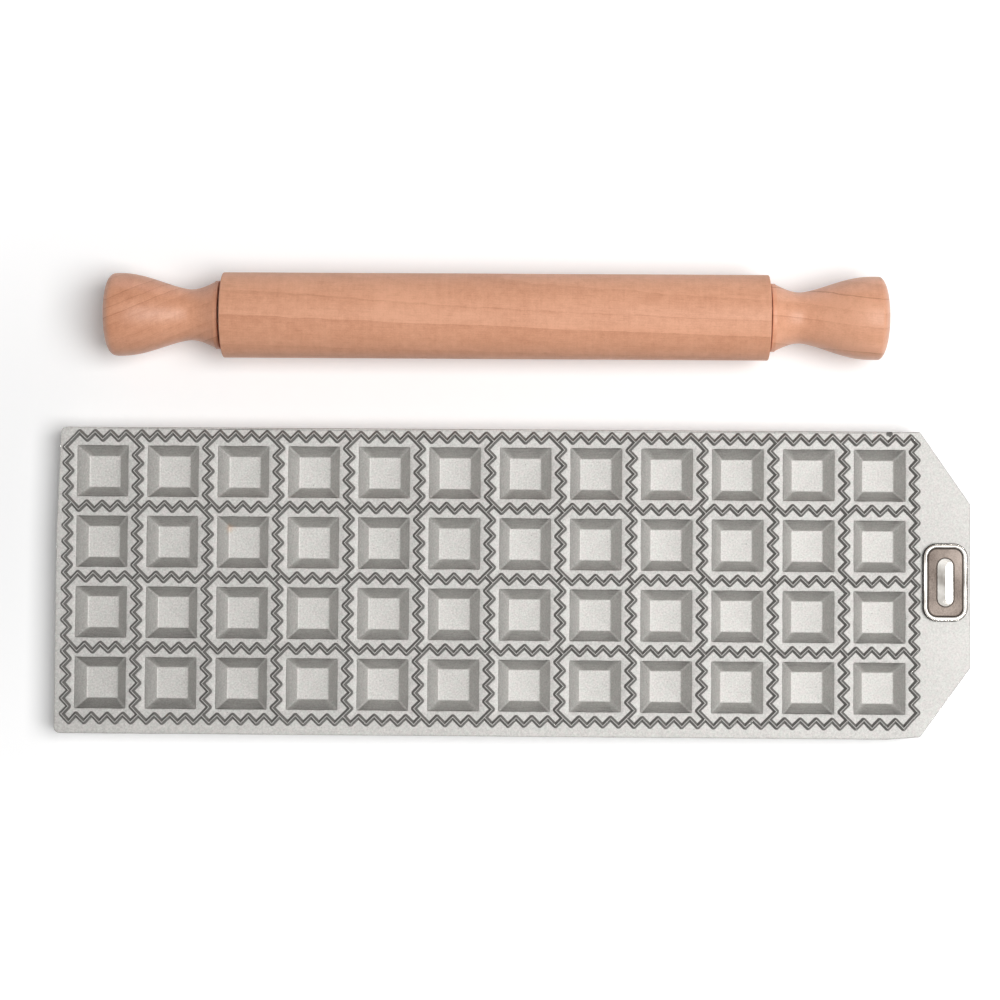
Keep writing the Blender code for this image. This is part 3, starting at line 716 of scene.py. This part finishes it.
foot_finish = foot_rubber()
foot_top = FOOT_HEAD_HEIGHT + FOOT_STEM_LENGTH
rib_share = np.linspace(0, 1, 8 * FOOT_RIBS + 1)
rib_level = FOOT_HEAD_HEIGHT + (FOOT_RIB_START + FOOT_RIB_RUN * rib_share) * FOOT_STEM_LENGTH
rib_radius = FOOT_STEM_RADIUS + FOOT_RIB_HEIGHT * np.abs(np.sin(np.pi * FOOT_RIBS * rib_share))
foot_head = eased([
    (FOOT_DIMPLE_DEPTH, 0.0, 0.0),
    (FOOT_DIMPLE_DEPTH, FOOT_DIMPLE, 0.0002),
    (0.0, FOOT_DIMPLE + 0.0002, 0.0001),
    (0.0, FOOT_HEAD_RADIUS, FOOT_EDGE),
    (FOOT_HEAD_HEIGHT, FOOT_HEAD_RADIUS, FOOT_EDGE / 2),
    (FOOT_HEAD_HEIGHT, FOOT_STEM_RADIUS, 0.0002),
    (rib_level[0], FOOT_STEM_RADIUS, 0.0),
])
foot_tip = eased([
    (rib_level[-1], FOOT_STEM_RADIUS, 0.0),
    (foot_top, FOOT_STEM_RADIUS - 0.0002, FOOT_EDGE / 2),
    (foot_top, 0.0, 0.0),
])
foot_profile = np.vstack([foot_head, np.stack([rib_level, rib_radius], 1)[1:-1], foot_tip])
for name, (x, y) in FEET.items():
    foot_skin = Skin()
    foot_skin.rings(turned(foot_profile, (x, y, 0.0), around=48))
    foot = foot_skin.piece("rubber_" + name, foot_finish)
    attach(foot, "mould")
    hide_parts(name)


# Plaque: a small plate of polished nickel on the tab. It has a half-round rim, and a low hipped bar stands in
# a field that is punched to a fine grain and darkened. Two studs on its back go down through the tab.

BADGE_HALF_WIDTH = 0.0095
BADGE_HALF_LENGTH = 0.0165
BADGE_THICKNESS = 0.0022
BADGE_CORNER = 0.0060
BADGE_FIELD_DEPTH = 0.0008
BAR_HALF_WIDTH = 0.0033
BAR_HALF_LENGTH = 0.0100
BAR_CROWN = 0.0007
NICKEL_DARK = (0.20, 0.175, 0.15, 1.0)
NICKEL_BRIGHT = (0.86, 0.83, 0.78, 1.0)
SATIN_PALE = (0.20, 0.168, 0.148, 1.0)
SATIN_DARK = (0.065, 0.052, 0.044, 1.0)
LACQUER_BLACK = (0.022, 0.017, 0.014, 1.0)
# Over the plaque's side and rim: how far in, how high, whether it is field, and how much lacquer is left.
PLAQUE_SIDE = [
    (0.00040, 0.00000, 0.0, 0.0),
    (0.00012, 0.00008, 0.0, 0.6),
    (0.00000, 0.00030, 0.0, 1.0),
    (0.00004, 0.00110, 0.0, 1.0),
    (0.00030, 0.00158, 0.0, 1.0),
    (0.00042, 0.00172, 0.0, 0.6),
    (0.00056, 0.00186, 0.0, 0.0),
    (0.00076, 0.00203, 0.0, 0.0),
    (0.00098, 0.00215, 0.0, 0.0),
    (0.00120, 0.00220, 0.0, 0.0),
    (0.00142, 0.00215, 0.0, 0.0),
    (0.00164, 0.00203, 0.0, 0.0),
    (0.00182, 0.00188, 0.0, 0.1),
    (0.00196, 0.00168, 0.3, 0.8),
    (0.00206, 0.00146, 1.0, 1.0),
    (0.00220, 0.00140, 1.0, 1.0),
    (0.00242, 0.00140, 1.0, 0.7),
    (0.00280, 0.00140, 1.0, 0.0),
]
# The same four values for the field beside the bar and the bar's foot.
BAR_SIDE = [
    (-0.00075, 0.00140, 1.0, 0.0),
    (-0.00042, 0.00140, 1.0, 0.8),
    (-0.00022, 0.00140, 1.0, 1.0),
    (-0.00010, 0.00142, 1.0, 1.0),
    (0.00000, 0.00146, 0.0, 0.5),
    (0.00008, 0.00150, 0.0, 0.0),
]

badge_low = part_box("badge")[0]
ALL_FIELD = (1.0, 0.0)
PLAQUE_LOW = DECK + SEAT_GAP
PLAQUE_FIELD = PLAQUE_LOW + BADGE_THICKNESS - BADGE_FIELD_DEPTH


def plaque_ring(inset):
    """The plaque's outline moved in by a distance, with its corners' arcs about the same centres."""
    ring = rounded_square(BADGE_HALF_WIDTH - inset, BADGE_HALF_LENGTH - inset, BADGE_CORNER - inset, steps=10)
    return ring + [BADGE_X, BADGE_Y]


def bar_ring(inset):
    """The outline of the raised bar moved in by a distance: its ends are half circles."""
    ring = rounded_square(BAR_HALF_WIDTH - inset, BAR_HALF_LENGTH - inset, BAR_HALF_WIDTH - inset, steps=10)
    return ring + [BADGE_X, BADGE_Y]


def polished_nickel():
    """Warm bright nickel with hair-fine polishing lines, darkened in broad clouds of painted reflection. The
    field is punched to a brown-grey satin, and a black lacquer line is left along the foot of each raised
    edge.
    """
    finish, shader, place = new_finish("polished_nickel", Metallic=1.0)
    field = place.mark("field")
    lacquer = place.mark("lacquer")
    hair = stretched(place, 1.0, 0.05, 1.0).noise(5200.0, 2.0, 0.6)
    cloud = place.noise(115.0, 2.0)
    punch = place.grains(2100.0)
    # Painted reflection: slow clouds swing the nickel between dark and bright.
    bright = (0.62 + (hair - 0.5) * 0.20 + (cloud - 0.5) * 2.2).held()
    metal = bright.tint(NICKEL_DARK, NICKEL_BRIGHT)
    patina = place.noise(75.0, 3.0)
    stain = (punch * 0.5 + (patina - 0.5) * 1.9 + 0.25).held()
    satin = stain.tint(SATIN_PALE, SATIN_DARK)
    colour = lacquer.tint(field.tint(metal, satin), LACQUER_BLACK)
    rough = 0.17 + (hair - 0.5) * 0.12 + field * 0.32
    height = field * punch + hair * 0.04
    feed(shader, Base_Color=colour, Roughness=rough, Normal=height.bump(0.7, 0.00008))
    return finish


plaque_skin = Skin("field", "lacquer")
plaque_rings = lifted([plaque_ring(inset) for inset, _, _, _ in PLAQUE_SIDE],
                      [PLAQUE_LOW + height for _, height, _, _ in PLAQUE_SIDE])
plaque_skin.rings(plaque_rings, [marks for _, _, *marks in PLAQUE_SIDE])
bar_side = BAR_SIDE + [(inset, BADGE_THICKNESS - BAR_CROWN * (1 - inset / BAR_HALF_WIDTH), 0.0, 0.0)
                       for inset in BAR_HALF_WIDTH * np.array([0.06, 0.35, 0.65, 0.94, 1.0])]
bar_rings = lifted([bar_ring(inset) for inset, _, _, _ in bar_side],
                   [PLAQUE_LOW + height for _, height, _, _ in bar_side])
plaque_skin.rings(bar_rings, [marks for _, _, *marks in bar_side])
plaque_skin.fill([plaque_rings[-1, :, :2], bar_rings[0, :, :2]], PLAQUE_FIELD, ALL_FIELD)
plaque_back = [plaque_rings[0, :, :2]]
for stud in STUDS:
    stud_profile = eased([
        (PLAQUE_LOW, STUD_RADIUS, 0.0),
        (badge_low.z, STUD_RADIUS, 0.0005),
        (badge_low.z, 0.0, 0.0),
    ])
    plaque_skin.rings(turned(stud_profile, (*stud, 0.0), around=32), BARE)
    plaque_back.append(circle(stud, STUD_RADIUS, count=32))
plaque_skin.fill(plaque_back, PLAQUE_LOW, BARE)
plaque = plaque_skin.piece("plaque", polished_nickel())
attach(plaque, "mould")
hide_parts("badge")


# Push-on clips: dished washers pressed from spring steel. Four slots part the metal round the hole into
# tongues, which bite on a stud of the plaque under the tab.

CLIP_RADIUS = 0.0045
CLIP_HOLE = STUD_RADIUS + SEAT_GAP
CLIP_SLOT_END = 0.0031
CLIP_SLOTS = 4
CLIP_SLOT_EDGE = 0.84
CLIP_SLOT_SLOPE = 0.08
CLIP_POINTS = 144
CLIP_SHARES = [0.03, 0.3, 0.6, 0.97]
CLIP_THICKNESS = 0.0006
CLIP_DISH = 0.0006
CLIP_TOP = CEILING - SEAT_GAP
SPRING_DARK = (0.20, 0.205, 0.22, 1.0)
SPRING_PALE = (0.50, 0.50, 0.52, 1.0)


def spring_steel():
    """Grey-blue spring steel with the faint mottle of its heat treatment."""
    finish, shader, place = new_finish("spring_steel", Metallic=1.0)
    mottle = place.noise(700.0, 3.0, 0.6)
    scratch = stretched(place, 0.08, 1.0, 1.0).noise(5200.0, 2.0)
    colour = (mottle * 0.8 + scratch * 0.3).held().tint(SPRING_DARK, SPRING_PALE)
    rough = 0.30 + (mottle - 0.5) * 0.3
    feed(shader, Base_Color=colour, Roughness=rough, Normal=scratch.bump(0.4, 0.00003))
    return finish


def clip_rings(shares, drop):
    """Rings from the clip's rim (0) to its hole (1). The hole's radius steps out to the slots' ends where the
    cosine of the slots' number times the turn is near one, and the metal sinks in step with its distance from
    the rim.
    """
    turn = np.arange(CLIP_POINTS) * 2 * np.pi / CLIP_POINTS
    slot = np.clip((np.cos(CLIP_SLOTS * turn) - CLIP_SLOT_EDGE) / CLIP_SLOT_SLOPE, 0, 1)
    hole = CLIP_HOLE + (CLIP_SLOT_END - CLIP_HOLE) * slot
    radius = CLIP_RADIUS + (hole - CLIP_RADIUS) * np.array(shares)[:, None]
    level = CLIP_TOP - drop - CLIP_DISH * (CLIP_RADIUS - radius) / (CLIP_RADIUS - CLIP_HOLE)
    return np.stack([radius * np.cos(turn), radius * np.sin(turn), level], -1)


clip_finish = spring_steel()
for name, stud in zip(("badge_clip_front", "badge_clip_back"), STUDS):
    clip_skin = Skin()
    over = clip_rings(CLIP_SHARES, 0.0)
    hole_edge = clip_rings([1.0], CLIP_THICKNESS / 2)
    under = clip_rings(CLIP_SHARES[::-1], CLIP_THICKNESS)
    rim_edge = clip_rings([0.0], CLIP_THICKNESS / 2)
    clip_skin.rings(np.concatenate([over, hole_edge, under, rim_edge, over[:1]]) + [*stud, 0.0])
    clip = clip_skin.piece("push_on_" + name, clip_finish)
    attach(clip, "mould")
    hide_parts(name)


# Roller: a cylinder of beech, bored through, turned and sanded but not varnished. A shallow recess in each
# end takes the flange of a bushing.

BARREL_END_ROUND = 0.0006
FLANGE_RADIUS = 0.0100
RECESS_RADIUS = FLANGE_RADIUS + 0.0006
RECESS_DEPTH = 0.0014
BUSHING_RADIUS = 0.0070
BUSHING_LENGTH = 0.0140
BARREL_BORE_RADIUS = 0.0050
BEECH_PALE = (0.80, 0.408, 0.256, 1.0)
BEECH_DARK = (0.44, 0.160, 0.072, 1.0)

barrel_low, barrel_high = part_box("pin_barrel")
PIN_AXIS = [(low + high) / 2 for low, high in zip(barrel_low, barrel_high)]
BARREL_HALF = (barrel_high.x - barrel_low.x) / 2
BARREL_RADIUS = (barrel_high.z - barrel_low.z) / 2


def beech(name, slant, pith, ring_width, first_ring, tone_seed, shade, lines, polish):
    """Steamed beech. Its rings are steps of the distance from the pith, along a grain at a slant to X. Each
    darkens to a thin late line and has a tone of its own. Fibres and short dark flecks run with the grain,
    the lathe's lines go round, and clouds and dust mottle it. The first ring's place shifts them all, the
    tone seed picks their tones, and lines, shade and polish set how dark and how smooth it all is.
    """
    finish, shader, place = new_finish(name, Metallic=0.0, IOR=1.46, Sheen_Weight=0.10, Sheen_Roughness=0.5)
    turning = {"Vector": place, "Center": PIN_AXIS, "Angle": slant}
    grain = place.node("VectorRotate", {"rotation_type": "Z_AXIS"}, turning)
    wave = stretched(grain, 0.35, 1.0, 1.0, PIN_AXIS).noise(34.0, 2.0) - 0.5
    shake = stretched(grain, 0.5, 1.0, 1.0, PIN_AXIS).noise(240.0, 2.0) - 0.5
    across = stretched(grain, 0.0, 1.0, 1.0, PIN_AXIS)
    ring = (across.distance(pith) + wave * 0.0026 + shake * 0.0009 - first_ring) * (1 / ring_width)
    age = ring.math("FRACT")
    count = ring.math("FLOOR") + tone_seed
    tone = ring.node("TexWhiteNoise", {"noise_dimensions": "1D"}, {"W": count}, "Value") - 0.5
    mark = ring.node("TexWhiteNoise", {"noise_dimensions": "1D"}, {"W": count + 0.5}, "Value")
    late = age.math("POWER", 2.5)
    line = age.ramp((0.90, 0.0), (0.96, 1.0), (0.985, 1.0), (1.0, 0.0)) * (0.8 - wave * 3.0).held()
    line = line * mark.ramp((0.55, 0.0), (0.85, 1.0))
    fibre = stretched(grain, 0.035, 1.0, 1.0, PIN_AXIS).noise(2400.0, 3.0, 0.65)
    fleck = stretched(grain, 0.11, 1.0, 1.0, PIN_AXIS).noise(2300.0, 1.0).ramp((0.62, 0.0), (0.72, 1.0))
    lathe = stretched(place, 1.0, 0.05, 0.05, PIN_AXIS).noise(950.0, 3.0, 0.7)
    cloud = place.noise(42.0, 2.0)
    mottle = place.noise(300.0, 2.0)
    dust = place.noise(1500.0, 3.0, 0.7)
    depth = late * 0.12 + line * lines + tone * 0.24 + (fibre - 0.5) * 0.40 + fleck * 0.13
    depth = depth + (dust - 0.5) * 0.55 + (lathe - 0.5) * 0.24
    depth = depth + (cloud - 0.5) * 0.40 + (mottle - 0.5) * 0.40 + shade
    wood = depth.held().tint(BEECH_PALE, BEECH_DARK)
    rough = 0.58 - polish + (fibre - 0.5) * 0.25 + late * 0.06
    height = fibre * 0.5 + lathe * 0.6 - line * 0.3 - fleck * 0.3
    feed(shader, Base_Color=wood, Roughness=rough, Normal=height.bump(0.35, 0.00012))
    return finish


recess_floor = BARREL_HALF - RECESS_DEPTH
seat_radius = BUSHING_RADIUS + SEAT_GAP
seat_end = recess_floor - BUSHING_LENGTH - SEAT_GAP
# From the bore out to the rim: how far along, how wide, and how round each corner is.
barrel_end = [
    (seat_end, BARREL_BORE_RADIUS, 0.0002),
    (seat_end, seat_radius, 0.0002),
    (recess_floor, seat_radius, 0.0003),
    (recess_floor, RECESS_RADIUS, 0.0003),
    (BARREL_HALF, RECESS_RADIUS, 0.0003),
    (BARREL_HALF, BARREL_RADIUS, BARREL_END_ROUND),
]
other_end = [(-distance, radius, ease) for distance, radius, ease in barrel_end[::-1]]
barrel_middle = (0.0, BARREL_BORE_RADIUS, 0.0)
barrel_profile = eased([barrel_middle, *barrel_end, *other_end, barrel_middle], steps=6)
barrel_skin = Skin()
barrel_skin.rings(turned(barrel_profile, PIN_AXIS, axis=0, around=160))
barrel_finish = beech("beech_roller", slant=0.046, pith=(0.0, -0.052, -0.030), ring_width=0.0063,
                      first_ring=0.0657, tone_seed=38, shade=0.22, lines=0.13, polish=0.0)
barrel = barrel_skin.piece("beech_roller", barrel_finish, sharp=30.0)
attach(barrel, "barrel")
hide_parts("pin_barrel")


# Bushings: flanged sleeves of white nylon, moulded with a small lead-in at both mouths. They are pressed into
# the roller's ends and run on the axle.

FLANGE_THICKNESS = 0.0012
AXLE_RADIUS = 0.0040
RUNNING_GAP = 0.0003
NYLON_CREAM = (0.70, 0.67, 0.60, 1.0)
NYLON_WHITE = (0.88, 0.86, 0.80, 1.0)


def bushing_nylon():
    """Natural nylon: warm white with a faint milky mottle and a soft moulded gloss."""
    finish, shader, place = new_finish("bushing_nylon", Metallic=0.0, IOR=1.53)
    milk = place.noise(420.0, 3.0)
    pit = place.noise(3600.0, 2.0)
    colour = milk.held().tint(NYLON_CREAM, NYLON_WHITE)
    rough = 0.40 + (pit - 0.5) * 0.2
    feed(shader, Base_Color=colour, Roughness=rough, Normal=pit.bump(0.3, 0.00004))
    return finish


bushing_finish = bushing_nylon()
for name, hand in (("bushing_left", -1), ("bushing_right", 1)):
    low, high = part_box(name)
    flange_face = high.x if hand > 0 else low.x
    bushing_bore = AXLE_RADIUS + RUNNING_GAP
    sleeve_end = -FLANGE_THICKNESS - BUSHING_LENGTH
    bushing_profile = eased([
        (sleeve_end / 2, bushing_bore, 0.0),
        (sleeve_end, bushing_bore, 0.0003),
        (sleeve_end, BUSHING_RADIUS, 0.0005),
        (-FLANGE_THICKNESS, BUSHING_RADIUS, 0.0002),
        (-FLANGE_THICKNESS, FLANGE_RADIUS, 0.0002),
        (0.0, FLANGE_RADIUS, 0.0003),
        (0.0, bushing_bore, 0.0003),
        (sleeve_end / 2, bushing_bore, 0.0),
    ])
    bushing_skin = Skin()
    sleeve = turned(bushing_profile * [hand, 1], (flange_face, *PIN_AXIS[1:]), axis=0, around=72)
    bushing_skin.rings(sleeve)
    bushing = bushing_skin.piece("nylon_" + name, bushing_finish)
    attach(bushing, "barrel")
    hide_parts(name)


# Axle: a piece of drawn steel bar, cut to length and chamfered. It is pressed into the two handles and stands
# still with them, and the roller turns on it.

AXLE_CHAMFER = 0.0006
STEEL_DARK = (0.34, 0.33, 0.32, 1.0)
STEEL_BRIGHT = (0.68, 0.675, 0.67, 1.0)


def axle_steel():
    """Drawn bar: bright steel with long die lines and a faint stain of oil."""
    finish, shader, place = new_finish("axle_steel", Metallic=1.0)
    die = stretched(place, 0.01, 1.0, 1.0).noise(4200.0, 3.0, 0.6)
    stain = place.noise(90.0, 3.0)
    colour = (die * 0.7 + stain * 0.4).held().tint(STEEL_DARK, STEEL_BRIGHT)
    rough = 0.26 + (stain - 0.5) * 0.3
    feed(shader, Base_Color=colour, Roughness=rough, Normal=die.bump(0.4, 0.00003))
    return finish


axle_low, axle_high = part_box("pin_axle")
axle_half = (axle_high.x - axle_low.x) / 2
axle_profile = eased([
    (-axle_half, 0.0, 0.0),
    (-axle_half, AXLE_RADIUS - AXLE_CHAMFER, 0.0001),
    (AXLE_CHAMFER - axle_half, AXLE_RADIUS, 0.0001),
    (axle_half - AXLE_CHAMFER, AXLE_RADIUS, 0.0001),
    (axle_half, AXLE_RADIUS - AXLE_CHAMFER, 0.0001),
    (axle_half, 0.0, 0.0),
], steps=2)
axle_skin = Skin()
axle_skin.rings(turned(axle_profile, ((axle_low.x + axle_high.x) / 2, *PIN_AXIS[1:]), axis=0))
axle = axle_skin.piece("steel_axle", axle_steel())
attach(axle, "rolling_pin")
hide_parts("pin_axle")


# Handles: turned from beech, each from its own blank, and rubbed to a soft sheen. A narrow collar stands by
# the roller's end, and the handle draws in to a neck, swells to the grip and ends in a dome. The left dome is
# blunter, and its grain runs aslant.

COLLAR_RADIUS = 0.01445
COLLAR_LAND = 0.0019
COLLAR_STEP = 0.0003
NECK_RADIUS = 0.0108
NECK_DISTANCE = 0.0125
GRIP_RADIUS = 0.0176
GRIP_SWELL = 0.0300
SWELL_POWER = 1.5
AXLE_GRIP = 0.0340
DOME_STEPS = 40
DOME_CROWDING = 1.4
WAIST_STEPS = 48
FLARE_STEPS = 24
# For each handle: which way it points along X, how long its dome is, and the power of the dome's curve.
HANDLES = {
    "pin_handle_left": (-1, 0.0062, 3.2),
    "pin_handle_right": (1, 0.0048, 2.1),
}


def handle_profile(length, end_length, end_power):
    """Distance from the collar's face and radius, from the dome's pole to the bottom of the bore. The dome is
    a power curve, the grip swells by a sine to a power, and the flare to the collar grows by one less a
    cosine.
    """
    shoulder = length - end_length
    turn = np.linspace(0, 1, DOME_STEPS)[:, None] ** DOME_CROWDING * np.pi / 2
    rise = np.cos(turn)
    dome = np.hstack([shoulder + end_length * rise, GRIP_RADIUS * (1 - rise ** end_power) ** (1 / end_power)])
    share = np.linspace(1, 0, WAIST_STEPS)[:, None]
    swell = np.sin(np.pi / 2 * share) ** SWELL_POWER
    waist = np.hstack([NECK_DISTANCE + GRIP_SWELL * share, NECK_RADIUS + (GRIP_RADIUS - NECK_RADIUS) * swell])
    waist = waist[waist[:, 0] < shoulder - COLLAR_LAND / 10]
    share = np.linspace(0, 1, FLARE_STEPS)[1:, None]
    flare_end = COLLAR_RADIUS - COLLAR_STEP
    flare = np.hstack([NECK_DISTANCE - (NECK_DISTANCE - COLLAR_LAND) * share,
                       NECK_RADIUS + (flare_end - NECK_RADIUS) * (1 - np.cos(np.pi / 2 * share))])
    bore = AXLE_RADIUS + SEAT_GAP
    depth = AXLE_GRIP + SEAT_GAP
    face = eased([
        (COLLAR_LAND, flare_end, 0.0),
        (COLLAR_LAND, COLLAR_RADIUS, 0.0001),
        (0.0, COLLAR_RADIUS, 0.0003),
        (0.0, bore, 0.0004),
        (depth, bore, 0.0),
        (depth, 0.0, 0.0),
    ])
    return np.vstack([dome, waist, flare[:-1], face])


HANDLE_FINISHES = {
    "pin_handle_left": beech("beech_handle_left", slant=-0.40, pith=(0.0, -0.070, -0.010), ring_width=0.0036,
                             first_ring=0.0, tone_seed=22152, shade=0.38, lines=0.36, polish=0.17),
    "pin_handle_right": beech("beech_handle_right", slant=0.10, pith=(0.0, -0.060, 0.0), ring_width=0.0057,
                              first_ring=0.0671, tone_seed=946, shade=0.18, lines=0.60, polish=0.17),
}
for name, (hand, end_length, end_power) in HANDLES.items():
    low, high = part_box(name)
    collar_face = low.x if hand > 0 else high.x
    profile = handle_profile(high.x - low.x, end_length, end_power) * [hand, 1]
    handle_skin = Skin()
    handle_skin.rings(turned(profile, (collar_face, *PIN_AXIS[1:]), axis=0, around=128))
    handle = handle_skin.piece("beech_" + name.removeprefix("pin_"), HANDLE_FINISHES[name])
    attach(handle, "rolling_pin")
    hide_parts(name)


# Studio: the camera looks down at the set from just over a metre. A white table keeps its soft shadow, with a
# large soft lamp high on the right, a weak one low on the left, and a pale room round it.

CAMERA_PLACE = (0.01354, -0.03951, 1.0794)
CAMERA_DEGREES = (2.2457, 0.9894, 0.4194)
CAMERA_LENS = 90.37
TABLE_REACH = 6.0
TABLE_WHITE = (0.92, 0.92, 0.92, 1.0)
TABLE_GLOW = 0.10
TABLE_GLOW_RISE = 1.2
TABLE_GLOW_DEPTH = 2.4
PURE_WHITE = (1.0, 1.0, 1.0, 1.0)
ROOM_LIGHT = 0.09
# For each lamp: its place, from which it faces the set, its width and its power.
LAMPS = {
    "softbox_right": ((0.75, -0.07, 1.65), 1.15, 32.0),
    "softbox_left": ((-1.30, 0.00, 0.55), 0.70, 1.8),
}


def seen(rays):
    """1 for rays that come from the camera, straight or by way of a shiny or a clear piece, 0 for others."""
    shown = rays.node("LightPath", {}, {}, "Is Camera Ray") + rays.node("LightPath", {}, {}, "Is Glossy Ray")
    return (shown + rays.node("LightPath", {}, {}, "Is Transmission Ray")).held()


def white_table():
    """Matt white, which keeps shadows. The table that is seen also glows, and the more so with the square of
    the distance from the set, so that it is pure white in the corners of the view.
    """
    finish = bpy.data.materials.new("white_table")
    finish.use_nodes = True
    nodes = finish.node_tree.nodes
    nodes.remove(nodes["Principled BSDF"])
    table = Wire(finish.node_tree)
    place = stretched(table.node("TexCoord", {}, {}, "Object"), 1.0, TABLE_GLOW_DEPTH, 1.0)
    away = place.distance((0.0, 0.0, 0.0))
    strength = seen(table) * (TABLE_GLOW + away * away * TABLE_GLOW_RISE)
    matt = table.node("BsdfDiffuse", {}, {"Color": TABLE_WHITE})
    glow = table.node("Emission", {}, {"Color": PURE_WHITE, "Strength": strength})
    both = table.node("AddShader", {}, {0: matt, 1: glow})
    finish.node_tree.links.new(both.socket, nodes["Material Output"].inputs["Surface"])
    return finish


camera_data = bpy.data.cameras.new("camera")
camera_data.lens = CAMERA_LENS
camera_data.sensor_width = 36.0
camera_data.clip_start = 0.05
camera = put_in_scene("camera", camera_data)
camera_turn = Euler(np.radians(CAMERA_DEGREES))
camera.matrix_world = Matrix.LocRotScale(Vector(CAMERA_PLACE), camera_turn, None)
bpy.context.scene.camera = camera

table_corners = TABLE_REACH * np.array([(-1, -1, 0), (1, -1, 0), (1, 1, 0), (-1, 1, 0)])
floor_mesh = bpy.data.meshes.new("table_top")
floor_mesh.from_pydata(table_corners.tolist(), [], [(0, 1, 2, 3)])
floor_mesh.materials.append(white_table())
floor = put_in_scene("table_top", floor_mesh)

for name, (place, size, power) in LAMPS.items():
    lamp_data = bpy.data.lights.new(name, "AREA")
    lamp_data.shape = "SQUARE"
    lamp_data.size = size
    lamp_data.energy = power
    lamp = put_in_scene(name, lamp_data)
    facing = (-Vector(place)).to_track_quat("-Z", "Y")
    lamp.matrix_world = Matrix.LocRotScale(Vector(place), facing, None)
    lamp.visible_camera = False

world = bpy.data.worlds.new("room")
bpy.context.scene.world = world
world.use_nodes = True
room = world.node_tree.nodes["Background"]
room.inputs["Color"].default_value = PURE_WHITE
room_strength = ROOM_LIGHT + seen(Wire(world.node_tree)) * (1 - ROOM_LIGHT)
world.node_tree.links.new(room_strength.socket, room.inputs["Strength"])

bpy.context.scene.view_settings.view_transform = "Standard"
